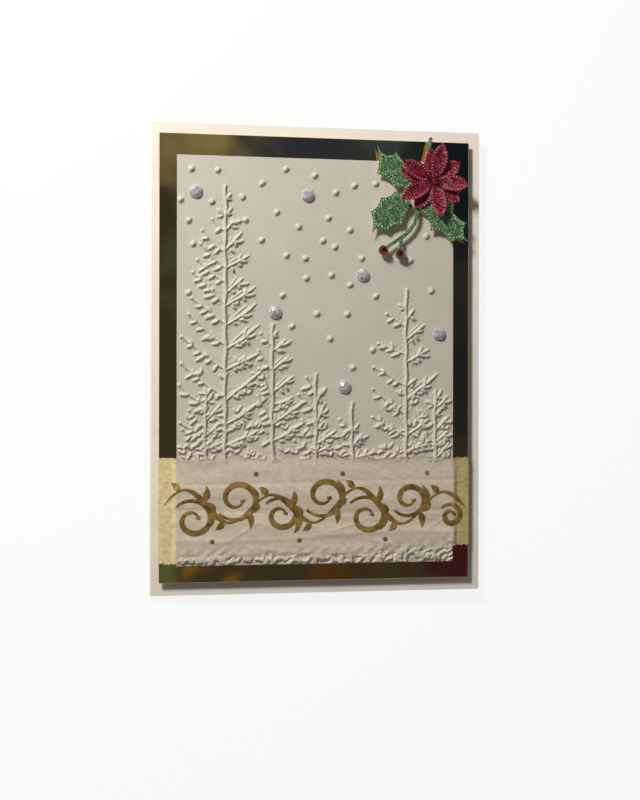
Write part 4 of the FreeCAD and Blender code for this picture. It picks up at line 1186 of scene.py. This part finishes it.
def even_points(ring, spacing):
    """Points at an even spacing along a closed ring, and the way in at each."""
    closed = np.vstack([ring, ring[:1]])
    lengths = np.hypot(*np.diff(closed, axis=0).T)
    total = lengths.sum()
    marks = np.arange(0, total, total / round(total / spacing))
    reached = np.concatenate([[0], np.cumsum(lengths)])
    x = np.interp(marks, reached, closed[:, 0])
    y = np.interp(marks, reached, closed[:, 1])
    spots = np.stack([x, y], 1)
    run = np.roll(spots, -1, 0) - np.roll(spots, 1, 0)
    inward = np.stack([-run[:, 1], run[:, 0]], 1)
    inward /= np.linalg.norm(inward, axis=1)[:, None] + 1e-9
    return spots, inward


def distance_to_ring(spots, ring):
    start, end = ring, np.roll(ring, -1, 0)
    run = end - start
    squared = (run ** 2).sum(1) + 1e-12
    offset = spots[:, None, :] - start[None]
    share = np.clip((offset * run[None]).sum(2) / squared[None], 0, 1)
    return np.linalg.norm(offset - share[..., None] * run[None], axis=2).min(1)


def inside_ring(spots, ring):
    start, end = ring, np.roll(ring, -1, 0)
    x, y = spots[:, :1], spots[:, 1:]
    crosses = (start[None, :, 1] > y) != (end[None, :, 1] > y)
    reach = start[:, 0] + (y - start[None, :, 1]) * (end[:, 0] - start[:, 0]) / (end[:, 1] - start[:, 1] + 1e-12)
    return (crosses & (x < reach)).sum(1) % 2 == 1


# %% Stitches and flakes as small meshes
def add_dome(points, faces, spot, normal, radius, height):
    """A six-sided dome with one ring and a crest, standing on the surface."""
    normal = Vector(normal).normalized()
    side = normal.orthogonal().normalized()
    other = normal.cross(side)
    first = len(points)
    for ring_radius, level in ((1.0, 0.0), (0.62, 0.75)):
        for k in range(6):
            angle = math.pi * k / 3
            points.append(Vector(spot) + (side * math.cos(angle) + other * math.sin(angle)) * radius * ring_radius
                          + normal * height * level)
    points.append(Vector(spot) + normal * height)
    for k in range(6):
        after = (k + 1) % 6
        faces.append((first + k, first + after, first + 6 + after, first + 6 + k))
        faces.append((first + 6 + k, first + 6 + after, first + 12))


def add_flake(points, faces, spot, normal, radius):
    """A flat hexagon that leans its own way, with its lowest corner just on the surface."""
    leaning = Vector([chance.gauss(0, 0.28) for _ in range(3)])
    up = (Vector(normal) + leaning).normalized()
    side = up.orthogonal().normalized()
    other = up.cross(side)
    lift = radius * math.sqrt(max(0, 1 - up.dot(Vector(normal)) ** 2)) + 0.02
    first = len(points)
    for k in range(6):
        angle = math.pi * k / 3
        points.append(Vector(spot) + Vector(normal) * lift
                      + (side * math.cos(angle) + other * math.sin(angle)) * radius)
    faces.append(tuple(range(first, first + 6)))


STITCH_INSET = 0.75
STITCH_PITCH = 1.15
LEAF_STITCH = (0.31, 0.2)
PETAL_STITCH = (0.29, 0.19)
LEAF_FLAKES, PETAL_FLAKES = 0.7, 0.6


def dress_flat_piece(node, material, stitches=True):
    """Stitches along the rim of a flat glitter piece, and loose flakes all over its front."""
    ring, top = outline_of(node)
    points, faces = [], []
    if stitches:
        spots, inward = even_points(ring, 0.3)
        inset = spots + inward * STITCH_INSET
        kept = inset[(distance_to_ring(inset, ring) > STITCH_INSET * 0.93) & inside_ring(inset, ring)]
        last = None
        for spot in kept:
            if last is None or math.dist(spot, last) > STITCH_PITCH:
                add_dome(points, faces, (*spot, top), (0, 0, 1), *LEAF_STITCH)
                last = spot
    low, high = ring.min(0), ring.max(0)
    count = int(LEAF_FLAKES * (high - low).prod())
    tried = np.array([(chance.uniform(low[0], high[0]), chance.uniform(low[1], high[1])) for _ in range(count)])
    good = tried[inside_ring(tried, ring) & (distance_to_ring(tried, ring) > 0.2)]
    for spot in good:
        add_flake(points, faces, (*spot, top), (0, 0, 1), chance.uniform(0.08, 0.15))
    add_piece(f"{node}_glitter", points, faces, material, smooth=0)


for name in ("holly_leaf_upper", "holly_leaf_lower", "holly_leaf_right", "berry_stem"):
    dress_flat_piece(name, green_sparkle, stitches=name != "berry_stem")

# %% [markdown]
# ## The flower
# Each layer is one sheet cut into five pointed petals and cupped along their length. A petal is a
# grid: along it from root to tip, and across it by its width there. The grid is bent to the wall
# of a cylinder and tipped up from the root, as the solid's petals are, and given a soft rolled rim.

# %% Petal surfaces
PETAL_THICK = 0.3
PETAL_HALF = 3.1
PETAL_BELLY = 0.58
LAYERS = [
    ("lower_petals", "flower_lower_petals", LEAF_TOP, 2.5, 14.0, 3.0,
     [(96.9, 12.96), (38.1, 12.64), (-37.8, 12.32), (234.2, 12.96), (163.8, 13.75)]),
    ("upper_petals", "flower_upper_petals", LEAF_TOP + PETAL_THICK, 2.0, 8.0, 12.0,
     [(79.0, 14.85), (-6.2, 13.27), (-81.1, 14.54), (208.4, 15.8), (152.7, 15.33)]),
]


def arc_half_width(root, length):
    """Half width along a petal: the arc through its root's corner, its belly and its tip."""
    (ax, ay), (bx, by), (cx, cy) = (root, 0.5), (length * PETAL_BELLY, PETAL_HALF), (length, 0.0)
    area = 2 * (ax * (by - cy) + bx * (cy - ay) + cx * (ay - by))
    a, b, c = ax ** 2 + ay ** 2, bx ** 2 + by ** 2, cx ** 2 + cy ** 2
    middle_x = (a * (by - cy) + b * (cy - ay) + c * (ay - by)) / area
    middle_y = (a * (cx - bx) + b * (ax - cx) + c * (bx - ax)) / area
    radius = math.hypot(ax - middle_x, ay - middle_y)
    return lambda x: max(0.02, middle_y + math.sqrt(max(0.0, radius ** 2 - (x - middle_x) ** 2)))


def petal_point(direction, root, cup, tilt, level, x, y, below):
    """A point of a petal in the leaf's frame; below is 0 on its front and the thickness on its back."""
    bend = cup + below
    z = cup + PETAL_THICK - math.sqrt(max(0.0, bend ** 2 - y ** 2))
    lean = math.radians(tilt)
    along = root + (x - root) * math.cos(lean) - z * math.sin(lean)
    z = (x - root) * math.sin(lean) + z * math.cos(lean)
    way = math.radians(direction)
    return Vector((FLOWER[0] + along * math.cos(way) - y * math.sin(way),
                   FLOWER[1] + along * math.sin(way) + y * math.cos(way), level + z))


# %% Build both layers of petals, with their stitches and flakes
ALONG = 26
SHARES = [-1, -0.95, -0.8, -0.6, -0.4, -0.2, 0, 0.2, 0.4, 0.6, 0.8, 0.95, 1]
RIM_DROP = 0.16


def make_layer(name, node, level, hub, cup, tilt, petals):
    points, faces, spark_points, spark_faces = [], [], [], []
    root = hub - 0.4
    for direction, length in petals:
        half_at = arc_half_width(root, length)
        first = len(points)
        for below in (0.0, PETAL_THICK):
            for i in range(ALONG + 1):
                x = root + (length - root) * i / ALONG
                for share in SHARES:
                    y = half_at(x) * share
                    vein = 0.07 * math.exp(-(y / 0.35) ** 2) * math.sin(math.pi * i / ALONG)
                    spot = petal_point(direction, root, cup, tilt, level, x, y, below)
                    if below == 0.0:
                        spot.z -= vein + (RIM_DROP if abs(share) == 1 else 0)
                    points.append(spot)
        faces += closed_sheet(first, ALONG + 1, len(SHARES))

        def on_front(x, y):
            spot = petal_point(direction, root, cup, tilt, level, x, y, 0.0)
            ahead = petal_point(direction, root, cup, tilt, level, x + 0.05, y, 0.0) - spot
            beside = petal_point(direction, root, cup, tilt, level, x, y + 0.05, 0.0) - spot
            return spot, ahead.cross(beside).normalized()

        for sign in (-1, 1):
            x = root + 2.2
            while x < length - 1.1:
                y = half_at(x) - STITCH_INSET
                if y > 0.25:
                    spot, normal = on_front(x, sign * y)
                    add_dome(spark_points, spark_faces, spot, normal, *PETAL_STITCH)
                slope = (half_at(x + 0.1) - half_at(x)) / 0.1
                x += STITCH_PITCH / math.hypot(1, slope)
        for _ in range(int(PETAL_FLAKES * (length - root) * PETAL_HALF * 1.4)):
            x = chance.uniform(root + 1.0, length - 0.6)
            y = chance.uniform(-1, 1) * (half_at(x) - 0.25)
            spot, normal = on_front(x, y)
            add_flake(spark_points, spark_faces, spot, normal, chance.uniform(0.08, 0.14))
    first = len(points)
    for z in (level + PETAL_THICK, level):
        for k in range(24):
            angle = 2 * math.pi * k / 24
            points.append(Vector((FLOWER[0] + hub * math.cos(angle), FLOWER[1] + hub * math.sin(angle), z)))
    faces.append(tuple(range(first, first + 24)))
    faces.append(tuple(range(first + 47, first + 23, -1)))
    for k in range(24):
        after = (k + 1) % 24
        faces.append((first + k, first + 24 + k, first + 24 + after, first + after))
    add_piece(name, points, faces, red_glitter, [node], smooth=45)
    add_piece(f"{name}_glitter", spark_points, spark_faces, red_sparkle, smooth=0)


for layer in LAYERS:
    make_layer(*layer)

# %% [markdown]
# ## Stones
# The stones are cheap faceted plastic. The clear ones have a rainbow film on the back, so each facet throws its own
# pastel colour.
# The red ones get painted light: the facets turned away from the lamp are painted glowing red and the rest stay
# dark.
# Both colours follow the facet's own direction.

# %% Stone materials
LAMP_WAY = Vector((-0.86, 1.12, 1.0)).normalized()


def make_clear_stone():
    material, tree, shader = new_material("rainbow_stone", Metallic=0.3, Roughness=0.08, Coat_Weight=1.0,
                                          Coat_Roughness=0.03)
    spread = facing(tree, (5.1, 3.7, 1.3))
    whole = vector_maths(tree, "DOT_PRODUCT", millimetres(tree), (0.043, 0.061, 0.0))
    shift = maths(tree, "ADD", spread, whole)
    wrapped = maths(tree, "WRAP", shift, 1.0, 0.0)
    stops = [(0.0, (206, 204, 214)), (0.2, (150, 132, 178)), (0.36, (222, 220, 226)), (0.5, (182, 150, 176)),
             (0.64, (232, 226, 196)), (0.8, (188, 206, 204)), (1.0, (206, 204, 214))]
    tint = ramped(tree, wrapped, [(position, srgb(*colour)) for position, colour in stops])
    join(tree, shader, Base_Color=tint)
    return material


def make_red_stone(name, dark, bright):
    material, tree, shader = new_material(name, Roughness=0.07, Coat_Weight=1.0, Coat_Roughness=0.03)
    # Painted light: facets turned away from the lamp get the bright colour, as light through the stone would light
    # them.
    away = mapped(tree, facing(tree, LAMP_WAY), 0.5, 0.1)
    cloud = noise(tree, millimetres(tree), 1.2, Detail=2.0)
    mottled = maths(tree, "MULTIPLY", away, cloud)
    lifted = maths(tree, "MULTIPLY", mottled, 1.7, use_clamp=True)
    tint = blend_colours(tree, lifted, srgb(*dark), srgb(*bright))
    join(tree, shader, Base_Color=tint)
    return material


rainbow_stone = make_clear_stone()
berry_red = make_red_stone("berry_red", (58, 6, 8), (206, 26, 20))
centre_red = make_red_stone("centre_red", (96, 10, 8), (214, 48, 20))
for name in nodes:
    if name.startswith("snow_gem"):
        finish_solid(name, rainbow_stone)
    elif name.startswith("berry_") and name != "berry_stem":
        finish_solid(name, berry_red)
finish_solid("flower_centre", centre_red)
print("stones finished")

# %% [markdown]
# ## Light, room and camera
# One soft lamp from the upper left gives the relief its light and shadow, and a dim room fills the
# rest. The room is dark overhead and pale near the horizon, because the mirror mat shows the part
# of the room straight above it, and gold film looks deep only when it has something dark to mirror.
# A few soft coloured patches lie on its ceiling, each as (across, up, reach, colour), where the mat
# shows them. Beyond the ceiling's middle the light is warm, and the camera itself sees plain white.

# %% The lamp and the room
def add_lamp(name, place, aim, size, power, colour):
    data = bpy.data.lights.new(name, "AREA")
    data.shape = "DISK"
    data.size = size
    data.energy = power
    data.color = colour
    lamp = new_object(name, data)
    lamp.location = place
    lamp.rotation_euler = (Vector(aim) - Vector(place)).to_track_quat("-Z", "Y").to_euler()


KEY_DISTANCE, KEY_SIZE, KEY_POWER = 0.58, 0.13, 3.7
WARM_WHITE = (1.0, 0.982, 0.945)
add_lamp("key_lamp", LAMP_WAY * KEY_DISTANCE, (0, 0, 0), KEY_SIZE, KEY_POWER, WARM_WHITE)


ROOM_SPOTS = [
    (0.0, 0.27, 0.09, (0.26, 0.31, 0.44)), (0.1, 0.27, 0.09, (0.03, 0.055, 0.26)),
    (0.19, 0.27, 0.05, (0.05, 0.12, 0.36)), (0.28, 0.22, 0.14, (0.008, 0.017, 0.085)),
    (0.28, 0.03, 0.12, (0.015, 0.025, 0.09)), (0.26, -0.13, 0.09, (0.05, 0.016, 0.06)),
    (-0.035, -0.175, 0.035, (0.11, 0.19, 0.2)), (0.018, -0.186, 0.028, (0.24, 0.18, 0.05)),
    (-0.02, 0.13, 0.06, (0.07, 0.105, 0.19)), (0.13, -0.17, 0.05, (0.085, 0.06, 0.05)),
]


def make_room():
    world = bpy.data.worlds.new("room")
    bpy.context.scene.world = world
    world.use_nodes = True
    tree = world.node_tree
    tree.nodes.clear()
    place = add_node(tree, "ShaderNodeTexCoord")
    parts = add_node(tree, "ShaderNodeSeparateXYZ", {0: place.outputs["Generated"]})
    horizon = ramped(tree, parts.outputs[2], [(0.15, (0.27, 0.245, 0.21, 1)), (0.88, (0, 0, 0, 1))])
    raised = maths(tree, "MAXIMUM", parts.outputs[2], 0.05)
    flat = vector_maths(tree, "MULTIPLY", place.outputs["Generated"], (1.0, 1.0, 0.0))
    inverse = maths(tree, "DIVIDE", 1.0, raised)
    onto_ceiling = vector_maths(tree, "SCALE", flat, scale=inverse)
    patches = noise(tree, onto_ceiling, 9.0, Detail=2.0)
    colour = blend_colours(tree, patches, (0.038, 0.045, 0.085, 1), (0.058, 0.067, 0.12, 1))
    for across, up, reach, glow in ROOM_SPOTS:
        away = vector_maths(tree, "DISTANCE", onto_ceiling, (across, up, 0.0))
        near = mapped(tree, away, reach, 0.3 * reach, interpolation_type="SMOOTHSTEP")
        colour = blend_colours(tree, near, colour, (*glow, 1))
    spread = vector_maths(tree, "LENGTH", onto_ceiling)
    beyond = mapped(tree, spread, 0.36, 0.6)
    colour = blend_colours(tree, beyond, colour, (0.070, 0.064, 0.057, 1))
    inputs = {0: 1.0, 6: horizon, 7: colour}
    summed = add_node(tree, MIX, inputs, data_type="RGBA", blend_type="ADD")
    light = add_node(tree, "ShaderNodeBackground", {0: summed.outputs[2], 1: 1.0})
    white = add_node(tree, "ShaderNodeBackground", {0: (1, 1, 1, 1), 1: 1.0})
    rays = add_node(tree, "ShaderNodeLightPath")
    inputs = {0: rays.outputs["Is Camera Ray"], 1: light.outputs[0], 2: white.outputs[0]}
    both = add_node(tree, "ShaderNodeMixShader", inputs)
    add_node(tree, "ShaderNodeOutputWorld", {"Surface": both.outputs[0]})


make_room()

# %% [markdown]
# The floor is pale and keeps the card's shadow. Most of its white is its own light, and only towards
# the camera and in reflections, so it doesn't light the card from below.

# %% Floor
FLOOR_GLOW = 0.88


def make_floor():
    material, tree, shader = new_material("pale_floor", Roughness=0.9, Base_Color=(0.86, 0.86, 0.86, 1))
    rays = add_node(tree, "ShaderNodeLightPath")
    seen = maths(tree, "MAXIMUM", rays.outputs["Is Camera Ray"], rays.outputs["Is Glossy Ray"])
    seen = maths(tree, "MAXIMUM", seen, rays.outputs["Is Transmission Ray"])
    share = maths(tree, "MULTIPLY", seen, FLOOR_GLOW)
    glow = add_node(tree, "ShaderNodeEmission", {0: (1, 1, 1, 1), 1: 1.0})
    mixed = add_node(tree, "ShaderNodeMixShader", {0: share, 1: shader.outputs[0], 2: glow.outputs[0]})
    end = next(item for item in tree.nodes if item.type == "OUTPUT_MATERIAL")
    tree.links.new(mixed.outputs[0], end.inputs["Surface"])
    mesh = bpy.data.meshes.new("floor")
    mesh.from_pydata([(-3, -3, 0), (3, -3, 0), (3, 3, 0), (-3, 3, 0)], [], [(0, 1, 2, 3)])
    mesh.materials.append(material)
    floor = new_object("floor", mesh)
    floor.location.z = -0.0002


make_floor()

# %% [markdown]
# The camera looks down on the card from a little to its left, about 40 cm up. Its axes are given in
# the leaf's frame, as they follow from the card's four corners in the picture.

# %% Camera
LENS = 46.8
CAMERA_PLACE = (-52.04, -15.4, 394.89)


def add_camera():
    data = bpy.data.cameras.new("camera")
    data.lens = LENS
    data.sensor_width = 36.0
    camera = new_object("camera", data)
    turn = LEAF.to_3x3().normalized()
    right = turn @ Vector((0.991131, 0.001683, 0.132875))
    down = turn @ Vector((0.00169, -0.999999, 0.0000572))
    forward = turn @ Vector((0.132875, 0.000168, -0.991133))
    axes = Matrix((right, -down, -forward)).transposed()
    camera.matrix_world = Matrix.Translation(LEAF @ Vector(CAMERA_PLACE)) @ axes.to_4x4()
    bpy.context.scene.camera = camera


add_camera()
bpy.context.scene.view_settings.view_transform = "Standard"

# %% Finish
bpy.context.view_layer.update()
